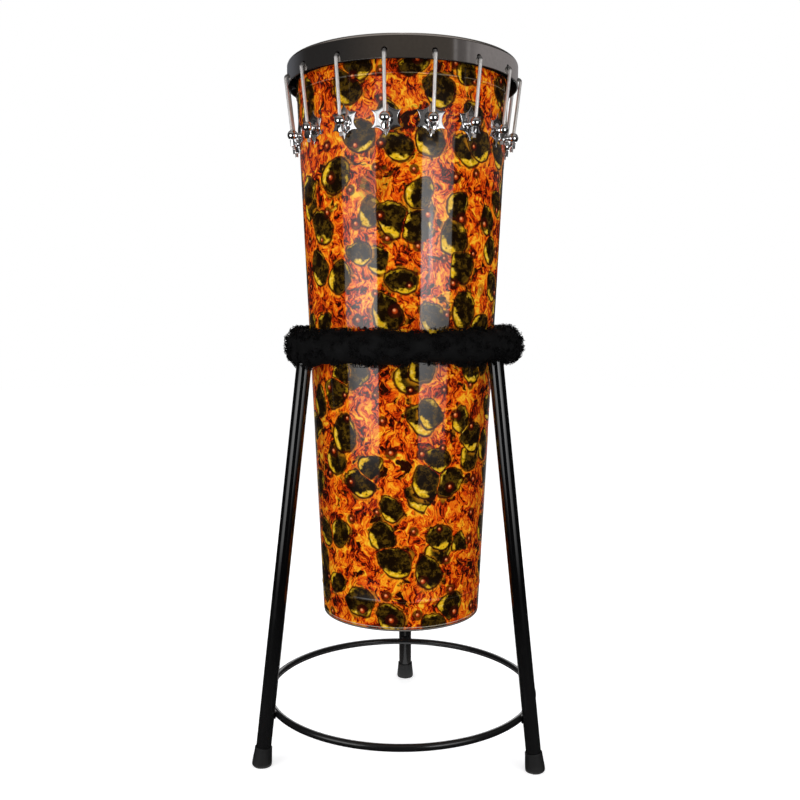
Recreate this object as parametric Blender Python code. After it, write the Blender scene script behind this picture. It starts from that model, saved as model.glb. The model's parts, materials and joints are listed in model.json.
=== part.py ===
"""A tall hand drum, a timbal, standing in a three-legged ring stand with a fur-covered collar.

Run it with blender --background --python part.py, or from Blender's text editor.
Lengths are in metres and +Z is up. The floor is z = 0, the drum's axis is the Z axis, and the
player stands on the -Y side, opposite the stand's rear leg.

The drum hangs by its taper in the collar. Its head is stretched by a hoop, which hooked rods draw
down: each rod hooks into a hole in the hoop, runs down through the ball of a star-shaped lug, and
carries a nut that bears against the underside of that ball.
"""

import math

import bmesh
import bpy
from mathutils import Matrix, Vector

# Clearance left between two pieces that touch
GAP = 0.0003

# How finely round forms are divided
DRUM_STEPS = 48
TUBE_STEPS = 12
RING_SIDES = 8
SMALL_STEPS = 8
FUR_SIDES = 10
FUR_CORE_SIDES = 6
ROD_SIDES = 6
NUT_SIDES = 6
EDGE_POINTS = 3
SMOOTH_BELOW = math.radians(35)

# Shell, a straight cone
SHELL_BOTTOM_Z = 0.2327
SHELL_LENGTH = 0.9315
SHELL_TOP_R = 0.1805
SHELL_BOTTOM_R = 0.1361
SHELL_WALL = 0.0060
BEARING_EDGE_R = 0.0025
BEAD_DROP = 0.0562
BEAD_RISE = 0.0489
BEAD_WIDTH = 0.0048
BEAD_HEIGHT = 0.0008
BARE_LIP_HEIGHT = 0.0030
WRAP_THICKNESS = 0.0005

# Head: film, collar and the flesh hoop that the collar runs into
FILM_THICKNESS = 0.0006
FLESH_HOOP_WIDTH = 0.0050
FLESH_HOOP_HEIGHT = 0.0100
FLESH_HOOP_OUTSET = 0.0020
COLLAR_TO_HOOP_RISE = 0.0033

# Counter hoop, a rolled band that bends inwards from the flesh hoop's outer edge
HOOP_DROP = 0.0007
HOOP_HEIGHT = 0.0377
HOOP_THICKNESS = 0.0020
HOOP_FOLD_R = 0.0065
FOLD_TO_FILM = 0.0011
HOOP_FOLD_FACETS = 2

# Tension rods, nuts and lugs
LUG_COUNT = 16
FIRST_LUG_ANGLE = math.radians(-96.1)
LUG_DROP = 0.1222
ROD_R = 0.00275
ROD_TIP_LENGTH = 0.0055
HOOK_DROP = 0.0262
HOOK_BEND_R = 0.0045
HOOK_BEND_POINTS = 3
HOOK_REACH = 0.0060
HOOK_HOLE_R = 0.0042
BALL_R = 0.0086
BALL_OFFSET = 0.0124
BALL_SEAT_DROP = 0.0062
BALL_SEAT_CLEARANCE = 0.0006
ROD_BORE_R = 0.0034
NECK_R = 0.0042
NECK_FLARE_HEIGHT = 0.0042
LUG_FOOT_R = 0.0062
STAR_POINTS = 6
STAR_TIP_R = 0.0276
STAR_WAIST_R = 0.0176
STAR_ARC_POINTS = 2
STAR_RIM_THICKNESS = 0.0014
STAR_CROWN_R = 0.0105
STAR_CROWN_THICKNESS = 0.0034
SCREW_R = 0.0025
SCREW_HOLE_R = 0.0031
WASHER_R = 0.0070
SCREW_HEAD_R = 0.0042
SCREW_HEAD_HEIGHT = 0.0034
NUT_CORNER_R = 0.0059
NUT_HEIGHT = 0.0115
NUT_CHAMFER = 0.0014

# Stand
COLLAR_RING_Z = 0.6956
COLLAR_RING_TUBE_R = 0.0110
PAD_THICKNESS = 0.0089
FUR_SECTION_R = 0.0285
FUR_SLIT_HALF_WIDTH = 0.0020
LEG_ANGLES = {
    "front_left": math.radians(-150),
    "front_right": math.radians(-30),
    "rear": math.radians(90),
}
FOOT_CIRCLE_R = 0.2618
LEG_R = 0.0125
LEG_WALL = 0.0015
LEG_TOP_CUTBACK = 0.0020
FLOOR_RING_Z = 0.0835
FLOOR_RING_TUBE_R = 0.0060
FLOOR_RING_BITE = 0.0008
FOOT_HEIGHT = 0.0310
FOOT_SOLE = 0.0065
FOOT_TRIM = 0.0022
FOOT_TOP_WALL = 0.0016
FOOT_BOTTOM_WALL = 0.0036
FOOT_ROUND_R = 0.0050
FOOT_ROUND_POINTS = 3

# Heights and radii that follow from the sizes above
SHELL_TOP_Z = SHELL_BOTTOM_Z + SHELL_LENGTH
HOOP_TOP_Z = SHELL_TOP_Z - HOOP_DROP
HOOP_BOTTOM_Z = HOOP_TOP_Z - HOOP_HEIGHT
FILM_OUT_R = SHELL_TOP_R + GAP + FILM_THICKNESS
FLESH_IN_R = SHELL_TOP_R + FLESH_HOOP_OUTSET
FLESH_OUT_R = FLESH_IN_R + FLESH_HOOP_WIDTH
HOOP_R = FLESH_OUT_R + HOOP_FOLD_R
HOOK_Z = HOOP_TOP_Z - HOOK_DROP
LUG_Z = SHELL_TOP_Z - LUG_DROP
LUG_PITCH = math.tau / LUG_COUNT
EDGE_CENTRE = (SHELL_TOP_R - BEARING_EDGE_R, SHELL_TOP_Z - BEARING_EDGE_R)


def shell_radius(z):
    """Outer radius of the shell's cone at height z."""
    share = (z - SHELL_BOTTOM_Z) / SHELL_LENGTH
    return SHELL_BOTTOM_R + (SHELL_TOP_R - SHELL_BOTTOM_R) * share


BALL_CENTRE_R = shell_radius(LUG_Z) + BALL_OFFSET
COLLAR_RING_R = shell_radius(COLLAR_RING_Z) + PAD_THICKNESS + COLLAR_RING_TUBE_R


def rod_tilt():
    """Lean of a rod from the vertical, at which it just clears the hoop's lower edge."""
    across = HOOP_R - BALL_CENTRE_R
    up = HOOP_BOTTOM_Z - LUG_Z
    return math.atan2(across, up) + math.asin((ROD_R + GAP) / math.hypot(across, up))


ROD_TILT = rod_tilt()
LEG_TILT = math.atan2(FOOT_CIRCLE_R - COLLAR_RING_R, COLLAR_RING_Z)
LEG_RUN = math.hypot(FOOT_CIRCLE_R - COLLAR_RING_R, COLLAR_RING_Z)


def leg_axis_radius(z):
    """Distance of a leg's centreline from the drum's axis at height z."""
    return FOOT_CIRCLE_R - z * math.tan(LEG_TILT)


def clear_scene():
    for obj in list(bpy.data.objects):
        bpy.data.objects.remove(obj, do_unlink=True)


def material(name, colour, roughness, metallic=0.0):
    """A Principled material with one colour, roughness and metallic value."""
    made = bpy.data.materials.new(name)
    made.use_nodes = True
    made.diffuse_color = (*colour, 1.0)
    shader = made.node_tree.nodes["Principled BSDF"]
    shader.inputs["Base Color"].default_value = (*colour, 1.0)
    shader.inputs["Roughness"].default_value = roughness
    shader.inputs["Metallic"].default_value = metallic
    return made


def place(name, data, finish=None, matrix=None):
    """Adds an object that holds this mesh or curve, with its finish, at its place."""
    obj = bpy.data.objects.new(name, data)
    if finish and not data.materials:
        data.materials.append(finish)
    if matrix:
        obj.matrix_world = matrix
    bpy.context.scene.collection.objects.link(obj)
    return obj


def make_cutter(obj):
    obj.hide_render = True
    obj.display_type = "WIRE"
    return obj


def turned(name, outline, steps, finish=None, matrix=None):
    """A turned solid. Its outline is (radius, height) pairs, clockwise with +X to the right."""
    count = len(outline)
    closed = outline[0][0] > 0
    edges = [(i, i + 1) for i in range(count - 1)]
    if closed:
        edges.append((count - 1, 0))
    mesh = bpy.data.meshes.new(name)
    mesh.from_pydata([(radius, 0.0, height) for radius, height in outline], edges, [])
    obj = place(name, mesh, finish, matrix)
    screw = obj.modifiers.new("Turn", "SCREW")
    screw.steps = steps
    screw.render_steps = steps
    screw.use_merge_vertices = True
    screw.merge_threshold = 0.00001
    screw.use_smooth_shade = True
    return obj


def boolean(obj, other, operation="DIFFERENCE"):
    modifier = obj.modifiers.new(other.name, "BOOLEAN")
    modifier.operation = operation
    modifier.object = other
    modifier.solver = "EXACT"


def finished_mesh(obj, name, finish):
    """The object's mesh with its modifiers applied. The object goes, and copies share the mesh."""
    bpy.context.view_layer.update()
    graph = bpy.context.evaluated_depsgraph_get()
    mesh = bpy.data.meshes.new_from_object(obj.evaluated_get(graph))
    mesh.name = name
    mesh.materials.clear()
    mesh.materials.append(finish)
    mesh.shade_smooth()
    mesh.set_sharp_from_angle(angle=SMOOTH_BELOW)
    bpy.data.objects.remove(obj, do_unlink=True)
    return mesh


def arc(centre, radius, start, end, points):
    """Points on an arc from start to end, in degrees, both ends included."""
    angles = [math.radians(start + (end - start) * i / (points - 1)) for i in range(points)]
    return [(centre[0] + radius * math.cos(a), centre[1] + radius * math.sin(a)) for a in angles]


def circle(centre, radius, sides):
    """A clockwise circle of this many sides."""
    return arc(centre, radius, 90, 90 - 360, sides + 1)[:-1]


def around_drum(angle):
    return Matrix.Rotation(angle, 4, "Z")


def drum_turn():
    """Turns a faceted ring so that each lug stands on the middle of a facet."""
    return around_drum(FIRST_LUG_ANGLE + math.pi / DRUM_STEPS)


def radial_axis(z):
    """Stands a turned shape's axis along +X at height z, so that its heights become radii."""
    return Matrix.Translation((0, 0, z)) @ Matrix.Rotation(math.pi / 2, 4, "Y")


def radial_holes(name, radius, z, inner, outer):
    """Cylinders in one mesh, which cut a hole at each lug's angle."""
    body = bmesh.new()
    for index in range(LUG_COUNT):
        middle = Matrix.Translation(((inner + outer) / 2, 0, z))
        along_x = Matrix.Rotation(math.pi / 2, 4, "Y")
        turn = around_drum(FIRST_LUG_ANGLE + index * LUG_PITCH)
        bmesh.ops.create_cone(
            body,
            cap_ends=True,
            segments=SMALL_STEPS,
            radius1=radius,
            radius2=radius,
            depth=outer - inner,
            matrix=turn @ middle @ along_x,
        )
    mesh = bpy.data.meshes.new(name)
    body.to_mesh(mesh)
    body.free()
    return make_cutter(place(name, mesh))


def bead(z):
    """Four points of a low raised bead round the shell, top to bottom."""
    upper = z + BEAD_WIDTH / 2
    lower = z - BEAD_WIDTH / 2
    flat = BEAD_WIDTH / 4
    return [
        (shell_radius(upper), upper),
        (shell_radius(z + flat) + BEAD_HEIGHT, z + flat),
        (shell_radius(z - flat) + BEAD_HEIGHT, z - flat),
        (shell_radius(lower), lower),
    ]


def make_shell(finish):
    """The conical shell, with its bearing edge, a bead near each end and the wrap's lower edge."""
    outline = arc(EDGE_CENTRE, BEARING_EDGE_R, 90, 0, EDGE_POINTS)
    outline += bead(SHELL_TOP_Z - BEAD_DROP)
    outline += bead(SHELL_BOTTOM_Z + BEAD_RISE)
    wrap_edge = SHELL_BOTTOM_Z + BARE_LIP_HEIGHT
    outline += [
        (shell_radius(wrap_edge), wrap_edge),
        (shell_radius(wrap_edge) - WRAP_THICKNESS, wrap_edge),
        (SHELL_BOTTOM_R - WRAP_THICKNESS, SHELL_BOTTOM_Z),
        (SHELL_BOTTOM_R - SHELL_WALL, SHELL_BOTTOM_Z),
    ]
    # Inside, the edge is bevelled at 45 degrees down to the wall
    inner_top_r = SHELL_TOP_R - SHELL_WALL
    outline.append((inner_top_r, SHELL_TOP_Z - (EDGE_CENTRE[0] - inner_top_r)))
    shell = turned("shell", outline, DRUM_STEPS, finish, drum_turn())
    wall_r = shell_radius(LUG_Z)
    holes = radial_holes(
        "screw_holes", SCREW_HOLE_R, LUG_Z, wall_r - 2 * SHELL_WALL, wall_r + SHELL_WALL
    )
    boolean(shell, holes)


def make_drumhead(finish):
    """The film, its collar outside the shell, and the flesh hoop that the collar runs into."""
    film_in = BEARING_EDGE_R + GAP
    film_out = film_in + FILM_THICKNESS
    flesh_top = HOOP_TOP_Z - HOOP_THICKNESS - GAP
    flesh_bottom = flesh_top - FLESH_HOOP_HEIGHT
    outline = [(0.0, EDGE_CENTRE[1] + film_out)]
    outline += arc(EDGE_CENTRE, film_out, 90, 0, EDGE_POINTS)
    outline += [
        (FILM_OUT_R, flesh_bottom + COLLAR_TO_HOOP_RISE),
        (FLESH_IN_R, flesh_bottom + COLLAR_TO_HOOP_RISE),
        (FLESH_IN_R, flesh_top),
        (FLESH_OUT_R, flesh_top),
        (FLESH_OUT_R, flesh_bottom),
        (EDGE_CENTRE[0] + film_in, flesh_bottom),
    ]
    outline += arc(EDGE_CENTRE, film_in, 0, 90, EDGE_POINTS)
    outline.append((0.0, EDGE_CENTRE[1] + film_in))
    turned("drumhead", outline, DRUM_STEPS, finish, drum_turn())


def make_counter_hoop(finish):
    """A band whose top is rolled inwards over the flesh hoop, with a hole for each hook."""
    bend = (FLESH_OUT_R, HOOP_TOP_Z - HOOP_FOLD_R)
    fold_in = FILM_OUT_R + FOLD_TO_FILM
    points = HOOP_FOLD_FACETS + 1
    outline = [(fold_in, HOOP_TOP_Z)]
    outline += arc(bend, HOOP_FOLD_R, 90, 0, points)
    outline += [(HOOP_R, HOOP_BOTTOM_Z), (HOOP_R - HOOP_THICKNESS, HOOP_BOTTOM_Z)]
    outline += arc(bend, HOOP_FOLD_R - HOOP_THICKNESS, 0, 90, points)
    outline.append((fold_in, HOOP_TOP_Z - HOOP_THICKNESS))
    hoop = turned("counter_hoop", outline, DRUM_STEPS, finish, drum_turn())
    holes = radial_holes(
        "hook_holes", HOOK_HOLE_R, HOOK_Z, HOOP_R - 2 * HOOP_THICKNESS, HOOP_R + HOOP_THICKNESS
    )
    boolean(hoop, holes)


def star_outline():
    """The star's edge as (across, up) pairs: tips joined by hollow arcs, one tip straight up."""
    half = math.pi / STAR_POINTS
    # Each arc goes through two tips and the waist point between them, seen from the waist's axis
    tip_in = STAR_TIP_R * math.cos(half)
    tip_side = STAR_TIP_R * math.sin(half)
    centre = (tip_in**2 + tip_side**2 - STAR_WAIST_R**2) / (2 * (tip_in - STAR_WAIST_R))
    radius = centre - STAR_WAIST_R
    swing = math.atan2(tip_side, centre - tip_in)
    points = []
    for tip in range(STAR_POINTS):
        axis = math.pi / 2 + (2 * tip + 1) * half
        for step in range(STAR_ARC_POINTS + 1):
            turn = swing - 2 * swing * step / (STAR_ARC_POINTS + 1)
            along = centre - radius * math.cos(turn)
            side = -radius * math.sin(turn)
            across = along * math.cos(axis) - side * math.sin(axis)
            points.append((across, along * math.sin(axis) + side * math.cos(axis)))
    return points


def on_shell(body, across, up, lift):
    """A vertex this far from the lug's centre, measured on the shell, and lifted off its surface."""
    z = LUG_Z + up
    radius = shell_radius(z)
    angle = across / radius
    reach = radius + GAP + lift
    return body.verts.new((reach * math.cos(angle), reach * math.sin(angle), z))


def star_face(body, rim, crown, outwards):
    """Fills one side of the plate: each crown corner fans out to the rim near its own tip."""
    run = STAR_ARC_POINTS + 1
    for tip in range(STAR_POINTS):
        here = crown[tip]
        after = crown[(tip + 1) % STAR_POINTS]
        edge = [rim[(tip * run + i) % len(rim)] for i in range(run + 1)]
        middle = run // 2
        faces = [(here, edge[i], edge[i + 1]) for i in range(middle)]
        faces.append((here, edge[middle], after))
        faces += [(after, edge[i], edge[i + 1]) for i in range(middle, run)]
        for corners in faces:
            body.faces.new(corners if outwards else corners[::-1])
    body.faces.new(crown if outwards else crown[::-1])


def make_star_plate():
    """The lug's plate: a six-pointed star bent to the shell and thicker towards its crown."""
    outline = star_outline()
    tips = [math.pi / 2 + tip * math.tau / STAR_POINTS for tip in range(STAR_POINTS)]
    crown_at = [(STAR_CROWN_R * math.cos(a), STAR_CROWN_R * math.sin(a)) for a in tips]
    body = bmesh.new()
    back = [on_shell(body, across, up, 0.0) for across, up in outline]
    back_crown = [on_shell(body, across, up, 0.0) for across, up in crown_at]
    front = [on_shell(body, across, up, STAR_RIM_THICKNESS) for across, up in outline]
    front_crown = [on_shell(body, across, up, STAR_CROWN_THICKNESS) for across, up in crown_at]
    star_face(body, front, front_crown, True)
    star_face(body, back, back_crown, False)
    for index in range(len(outline)):
        after = (index + 1) % len(outline)
        body.faces.new((back[index], back[after], front[after], front[index]))
    bmesh.ops.recalc_face_normals(body, faces=body.faces)
    mesh = bpy.data.meshes.new("star_plate")
    body.to_mesh(mesh)
    body.free()
    return place("star_plate", mesh)


def make_lug_post():
    """One turned bar: the ball, its neck and foot, and the screw with its broad washer head."""
    plate_r = shell_radius(LUG_Z) + GAP
    # The washer lies on a facet of the shell's inner wall, which leans in below the screw
    wall_in = shell_radius(LUG_Z - WASHER_R) - SHELL_WALL
    wall_in = wall_in * math.cos(math.pi / DRUM_STEPS) - GAP
    neck_drop = math.sqrt(BALL_R**2 - NECK_R**2)
    outline = [(0.0, BALL_CENTRE_R + BALL_R)]
    outline += arc((0.0, BALL_CENTRE_R), BALL_R, 90, 0, EDGE_POINTS)[1:]
    outline += [
        (NECK_R, BALL_CENTRE_R - neck_drop),
        (NECK_R, plate_r + NECK_FLARE_HEIGHT),
        (LUG_FOOT_R, plate_r + STAR_CROWN_THICKNESS / 2),
        (SCREW_R, plate_r + STAR_RIM_THICKNESS / 2),
        (SCREW_R, wall_in),
        (WASHER_R, wall_in),
        (SCREW_HEAD_R, wall_in - SCREW_HEAD_HEIGHT),
        (0.0, wall_in - SCREW_HEAD_HEIGHT),
    ]
    return make_cutter(turned("lug_post", outline, SMALL_STEPS, None, radial_axis(LUG_Z)))


def rod_axis():
    """Stands a shape's Z axis on the rod's, with its origin at the ball's centre."""
    ball = Matrix.Translation((BALL_CENTRE_R, 0, LUG_Z))
    return ball @ Matrix.Rotation(ROD_TILT, 4, "Y")


def make_rod_bore():
    """Cuts the rod's way through the ball and the flat seat that the nut bears on."""
    seat_r = math.sqrt(BALL_R**2 - BALL_SEAT_DROP**2) + BALL_SEAT_CLEARANCE
    outline = [
        (0.0, 2 * BALL_R),
        (ROD_BORE_R, 2 * BALL_R),
        (ROD_BORE_R, -BALL_SEAT_DROP),
        (seat_r, -BALL_SEAT_DROP),
        (seat_r, -2 * BALL_R),
        (0.0, -2 * BALL_R),
    ]
    return make_cutter(turned("rod_bore", outline, SMALL_STEPS, None, rod_axis()))


def make_lug_mesh(finish):
    plate = make_star_plate()
    post = make_lug_post()
    bore = make_rod_bore()
    boolean(plate, post, "UNION")
    boolean(plate, bore)
    mesh = finished_mesh(plate, "lug", finish)
    for helper in (post, bore):
        bpy.data.objects.remove(helper, do_unlink=True)
    return mesh


def make_nut_mesh(finish):
    """A hexagon nut with a chamfered lower end, in the rod's frame: its top is the ball's seat."""
    top = -BALL_SEAT_DROP - GAP
    bottom = top - NUT_HEIGHT
    outline = [
        (0.0, top),
        (NUT_CORNER_R, top),
        (NUT_CORNER_R, bottom + NUT_CHAMFER),
        (NUT_CORNER_R - NUT_CHAMFER, bottom),
        (0.0, bottom),
    ]
    nut = turned("nut_blank", outline, NUT_SIDES)
    # The bore's cutter runs a nut's height past each end
    hole = [
        (0.0, top + NUT_HEIGHT),
        (ROD_BORE_R, top + NUT_HEIGHT),
        (ROD_BORE_R, bottom - NUT_HEIGHT),
        (0.0, bottom - NUT_HEIGHT),
    ]
    bore = make_cutter(turned("nut_bore", hole, SMALL_STEPS))
    boolean(nut, bore)
    mesh = finished_mesh(nut, "tension_nut", finish)
    bpy.data.objects.remove(bore, do_unlink=True)
    return mesh


def rod_route():
    """The rod's centreline in its own frame: straight up, then bent into the hoop's hole."""
    corner = (HOOK_Z - LUG_Z) / math.cos(ROD_TILT)
    turn = math.pi / 2 + ROD_TILT
    tangent = HOOK_BEND_R * math.tan(turn / 2)
    bottom = -BALL_SEAT_DROP - GAP - NUT_HEIGHT - ROD_TIP_LENGTH
    route = [Vector((0, 0, bottom)), Vector((0, 0, 0))]
    for step in range(HOOK_BEND_POINTS + 1):
        swing = turn * step / HOOK_BEND_POINTS
        inwards = HOOK_BEND_R * (math.cos(swing) - 1)
        route.append(Vector((inwards, 0, corner - tangent + HOOK_BEND_R * math.sin(swing))))
    # In this frame the hoop's inward radius leans up by the rod's tilt
    inward = Vector((-math.cos(ROD_TILT), 0, -math.sin(ROD_TILT)))
    hole_out = BALL_CENTRE_R + (HOOK_Z - LUG_Z) * math.tan(ROD_TILT)
    tip_r = HOOP_R - HOOP_THICKNESS - HOOK_REACH
    route.append(Vector((0, 0, corner)) + inward * (hole_out - tip_r))
    return route


def make_rod_curve(finish):
    curve = bpy.data.curves.new("tension_rod", "CURVE")
    curve.dimensions = "3D"
    curve.bevel_depth = ROD_R
    curve.bevel_resolution = (ROD_SIDES - 4) // 2
    curve.use_fill_caps = True
    curve.materials.append(finish)
    route = rod_route()
    spline = curve.splines.new("POLY")
    spline.points.add(len(route) - 1)
    for point, spot in zip(spline.points, route):
        point.co = (*spot, 1.0)
    spline.use_smooth = True
    return curve


def make_tension_set(chrome, steel):
    """A lug, rod and nut at each of the lug angles. Rod and nut keep their origin on the rod's axis."""
    lug_mesh = make_lug_mesh(chrome)
    nut_mesh = make_nut_mesh(chrome)
    rod_curve = make_rod_curve(steel)
    for index in range(LUG_COUNT):
        turn = around_drum(FIRST_LUG_ANGLE + index * LUG_PITCH)
        number = f"{index + 1:02d}"
        place(f"lug_{number}", lug_mesh, None, turn)
        place(f"tension_rod_{number}", rod_curve, None, turn @ rod_axis())
        place(f"tension_nut_{number}", nut_mesh, None, turn @ rod_axis())


def leg_frame(angle):
    """Origin where a leg's centreline meets the floor, Z up along the leg, X outwards."""
    foot = Matrix.Translation((FOOT_CIRCLE_R, 0, 0))
    return around_drum(angle) @ foot @ Matrix.Rotation(-LEG_TILT, 4, "Y")


def leg_cylinder(name, angle, radius, start, end):
    """A solid bar along a leg's centreline, for cutting a leg's way through something."""
    outline = [(0.0, end), (radius, end), (radius, start), (0.0, start)]
    return make_cutter(turned(name, outline, TUBE_STEPS, None, leg_frame(angle)))


def collar_tube(name, radius, finish=None):
    outline = circle((COLLAR_RING_R, COLLAR_RING_Z), radius, RING_SIDES)
    return turned(name, outline, DRUM_STEPS, finish, drum_turn())


def make_legs(finish):
    """Three tubes. Each is saddled to the collar ring on top, and stands open in its foot."""
    start = FOOT_SOLE
    end = LEG_RUN - LEG_TOP_CUTBACK
    saddle = make_cutter(collar_tube("saddle", COLLAR_RING_TUBE_R + GAP))
    inner = LEG_R - LEG_WALL
    outline = [(LEG_R, end), (LEG_R, start), (inner, start), (inner, end)]
    for name, angle in LEG_ANGLES.items():
        leg = turned(f"leg_{name}", outline, TUBE_STEPS, finish, leg_frame(angle))
        boolean(leg, saddle)


def make_floor_ring(finish):
    """The lower ring, welded inside the legs. It is coped where it meets each of them."""
    leg_inside = leg_axis_radius(FLOOR_RING_Z) - LEG_R / math.cos(LEG_TILT)
    centre = (leg_inside - FLOOR_RING_TUBE_R + FLOOR_RING_BITE, FLOOR_RING_Z)
    outline = circle(centre, FLOOR_RING_TUBE_R, RING_SIDES)
    ring = turned("floor_ring", outline, DRUM_STEPS, finish)
    for name, angle in LEG_ANGLES.items():
        way = leg_cylinder(f"ring_cope_{name}", angle, LEG_R + GAP, FOOT_HEIGHT, LEG_RUN / 2)
        boolean(ring, way)


def make_feet(finish):
    """Rubber tips pushed on to the legs, flared and cut flat where they stand."""
    bore_r = LEG_R + GAP
    top_r = bore_r + FOOT_TOP_WALL
    flare_r = bore_r + FOOT_BOTTOM_WALL
    # The trim below the floor is what the level cut takes off the leaning foot
    round_centre = (flare_r - FOOT_ROUND_R, FOOT_ROUND_R - FOOT_TRIM)
    outline = [(top_r, FOOT_HEIGHT)]
    outline += arc(round_centre, FOOT_ROUND_R, 0, -90, FOOT_ROUND_POINTS)
    outline.append((0.0, -FOOT_TRIM))
    outline = [(0.0, FOOT_SOLE - GAP), (bore_r, FOOT_SOLE - GAP), (bore_r, FOOT_HEIGHT)] + outline
    # A slab under the floor, wide enough for all three feet
    slab = bmesh.new()
    under_floor = Matrix.Translation((0, 0, -FOOT_HEIGHT / 2))
    size = Matrix.Diagonal((3 * FOOT_CIRCLE_R, 3 * FOOT_CIRCLE_R, FOOT_HEIGHT, 1))
    bmesh.ops.create_cube(slab, size=1.0, matrix=under_floor @ size)
    slab_mesh = bpy.data.meshes.new("under_floor")
    slab.to_mesh(slab_mesh)
    slab.free()
    under = make_cutter(place("under_floor", slab_mesh))
    for name, angle in LEG_ANGLES.items():
        foot = turned(f"rubber_foot_{name}", outline, TUBE_STEPS, finish, leg_frame(angle))
        boolean(foot, under)


def fur_outline():
    """Section of the fur sleeve: a C round the collar ring, slit below, pressed flat by the drum."""
    centre = (COLLAR_RING_R, COLLAR_RING_Z)
    core_r = (COLLAR_RING_TUBE_R + GAP) / math.cos(math.pi / FUR_CORE_SIDES)
    outer_slit = math.degrees(math.asin(FUR_SLIT_HALF_WIDTH / FUR_SECTION_R))
    core_slit = math.degrees(math.asin(FUR_SLIT_HALF_WIDTH / core_r))
    outer = arc(centre, FUR_SECTION_R, -90 - outer_slit, -450 + outer_slit, FUR_SIDES + 1)
    core = arc(centre, core_r, -450 + core_slit, -90 - core_slit, FUR_CORE_SIDES + 1)
    pressed = [(max(radius, shell_radius(height) + GAP), height) for radius, height in outer]
    return pressed + core


def make_fur_cover(finish):
    """The padded fur sleeve that the drum rests in, opened below where each leg goes in."""
    cover = turned("fur_cover", fur_outline(), DRUM_STEPS, finish, drum_turn())
    for name, angle in LEG_ANGLES.items():
        way = leg_cylinder(f"fur_way_{name}", angle, LEG_R + GAP, LEG_RUN / 2, LEG_RUN)
        boolean(cover, way)


def main():
    clear_scene()
    wrap = material("printed_wrap", (0.72, 0.22, 0.03), 0.18)
    film = material("head_film", (0.86, 0.84, 0.78), 0.45)
    chrome = material("chrome", (0.72, 0.73, 0.75), 0.10, 1.0)
    dark_chrome = material("dark_chrome", (0.20, 0.20, 0.21), 0.16, 1.0)
    bright_steel = material("bright_steel", (0.76, 0.75, 0.73), 0.16, 1.0)
    black_paint = material("black_paint", (0.012, 0.012, 0.013), 0.22)
    black_rubber = material("black_rubber", (0.022, 0.022, 0.023), 0.62)
    black_fur = material("black_fur", (0.008, 0.008, 0.009), 0.95)
    make_shell(wrap)
    make_drumhead(film)
    make_counter_hoop(dark_chrome)
    make_tension_set(chrome, bright_steel)
    collar_tube("collar_ring", COLLAR_RING_TUBE_R, black_paint)
    make_legs(black_paint)
    make_floor_ring(black_paint)
    make_feet(black_rubber)
    make_fur_cover(black_fur)


main()
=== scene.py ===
"""Looks of a tall hooped hand drum in its fur-collared stand.

The file is laid out as an add-on: sizes and colours are properties, each group of pieces has an
operator, and a panel in the sidebar lists them. It is run as a script, which calls them in order.
Lengths are in metres and +Z is up.
"""

import json
import math
import random

import bmesh
import bpy
import numpy as np
from bpy.props import FloatProperty, FloatVectorProperty, IntProperty, PointerProperty
from mathutils import Matrix, Vector, noise


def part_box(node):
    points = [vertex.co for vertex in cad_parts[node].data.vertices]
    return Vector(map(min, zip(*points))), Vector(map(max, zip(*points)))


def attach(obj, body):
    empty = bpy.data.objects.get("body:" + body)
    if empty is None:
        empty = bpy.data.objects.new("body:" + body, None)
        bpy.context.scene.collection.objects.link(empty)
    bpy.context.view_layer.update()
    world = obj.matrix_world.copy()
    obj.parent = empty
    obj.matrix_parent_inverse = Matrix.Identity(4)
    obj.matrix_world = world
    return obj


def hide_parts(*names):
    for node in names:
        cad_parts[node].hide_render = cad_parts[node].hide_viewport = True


bl_info = {
    "name": "Hooped hand drum in a fur-collared stand",
    "version": (1, 0, 0),
    "blender": (4, 5, 0),
    "location": "View3D > Sidebar > Hand Drum",
    "description": "Dresses the drum, its hardware and its stand, and sets up a plain studio",
    "category": "Object",
}

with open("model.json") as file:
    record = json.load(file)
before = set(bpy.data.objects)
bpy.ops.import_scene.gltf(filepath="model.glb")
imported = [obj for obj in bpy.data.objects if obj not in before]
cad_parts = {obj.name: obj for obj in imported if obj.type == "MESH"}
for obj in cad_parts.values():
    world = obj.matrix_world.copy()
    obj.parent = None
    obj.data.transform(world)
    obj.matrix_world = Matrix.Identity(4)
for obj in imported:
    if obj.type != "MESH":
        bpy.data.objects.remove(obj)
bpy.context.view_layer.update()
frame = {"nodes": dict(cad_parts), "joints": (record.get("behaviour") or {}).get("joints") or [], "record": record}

# Names that number the tension sets and the legs
SET_NUMBERS = [f"{index + 1:02d}" for index in range(16)]
LEG_SIDES = ("front_left", "front_right", "rear")
JOINTS = {joint["name"]: joint for joint in frame["joints"]}
MOUNTS = {mount["name"]: mount for mount in frame["record"]["mounts"]}


def node_points(node, low=-1.0, high=9.0):
    """The node's corners between two heights, as rows of x, y and z."""
    points = np.array([corner.co for corner in frame["nodes"][node].data.vertices])
    return points[(points[:, 2] >= low) & (points[:, 2] <= high)]


def radii(node, low=-1.0, high=9.0):
    """Distances of the node's corners from the drum's axis, between two heights."""
    points = node_points(node, low, high)
    return np.hypot(points[:, 0], points[:, 1])


# Shell, read from the frame
SHELL_LOW, SHELL_HIGH = (corner.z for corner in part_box("shell"))
EDGE_R = 0.0025
SHELL_WALL = 0.0060
SHELL_TOP_R = float(radii("shell", SHELL_HIGH - 2 * EDGE_R).max())
SHELL_BOTTOM_R = float(radii("shell", high=SHELL_LOW + 0.0005).max()) + 0.0005
SHELL_SLOPE = (SHELL_TOP_R - SHELL_BOTTOM_R) / (SHELL_HIGH - SHELL_LOW)
BEAD_DROP = 0.0562
BEAD_RISE = 0.0489
WRAP_SHEET = "wrap_sheet"
SEAM_ANGLE = math.radians(96.0)

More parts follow.
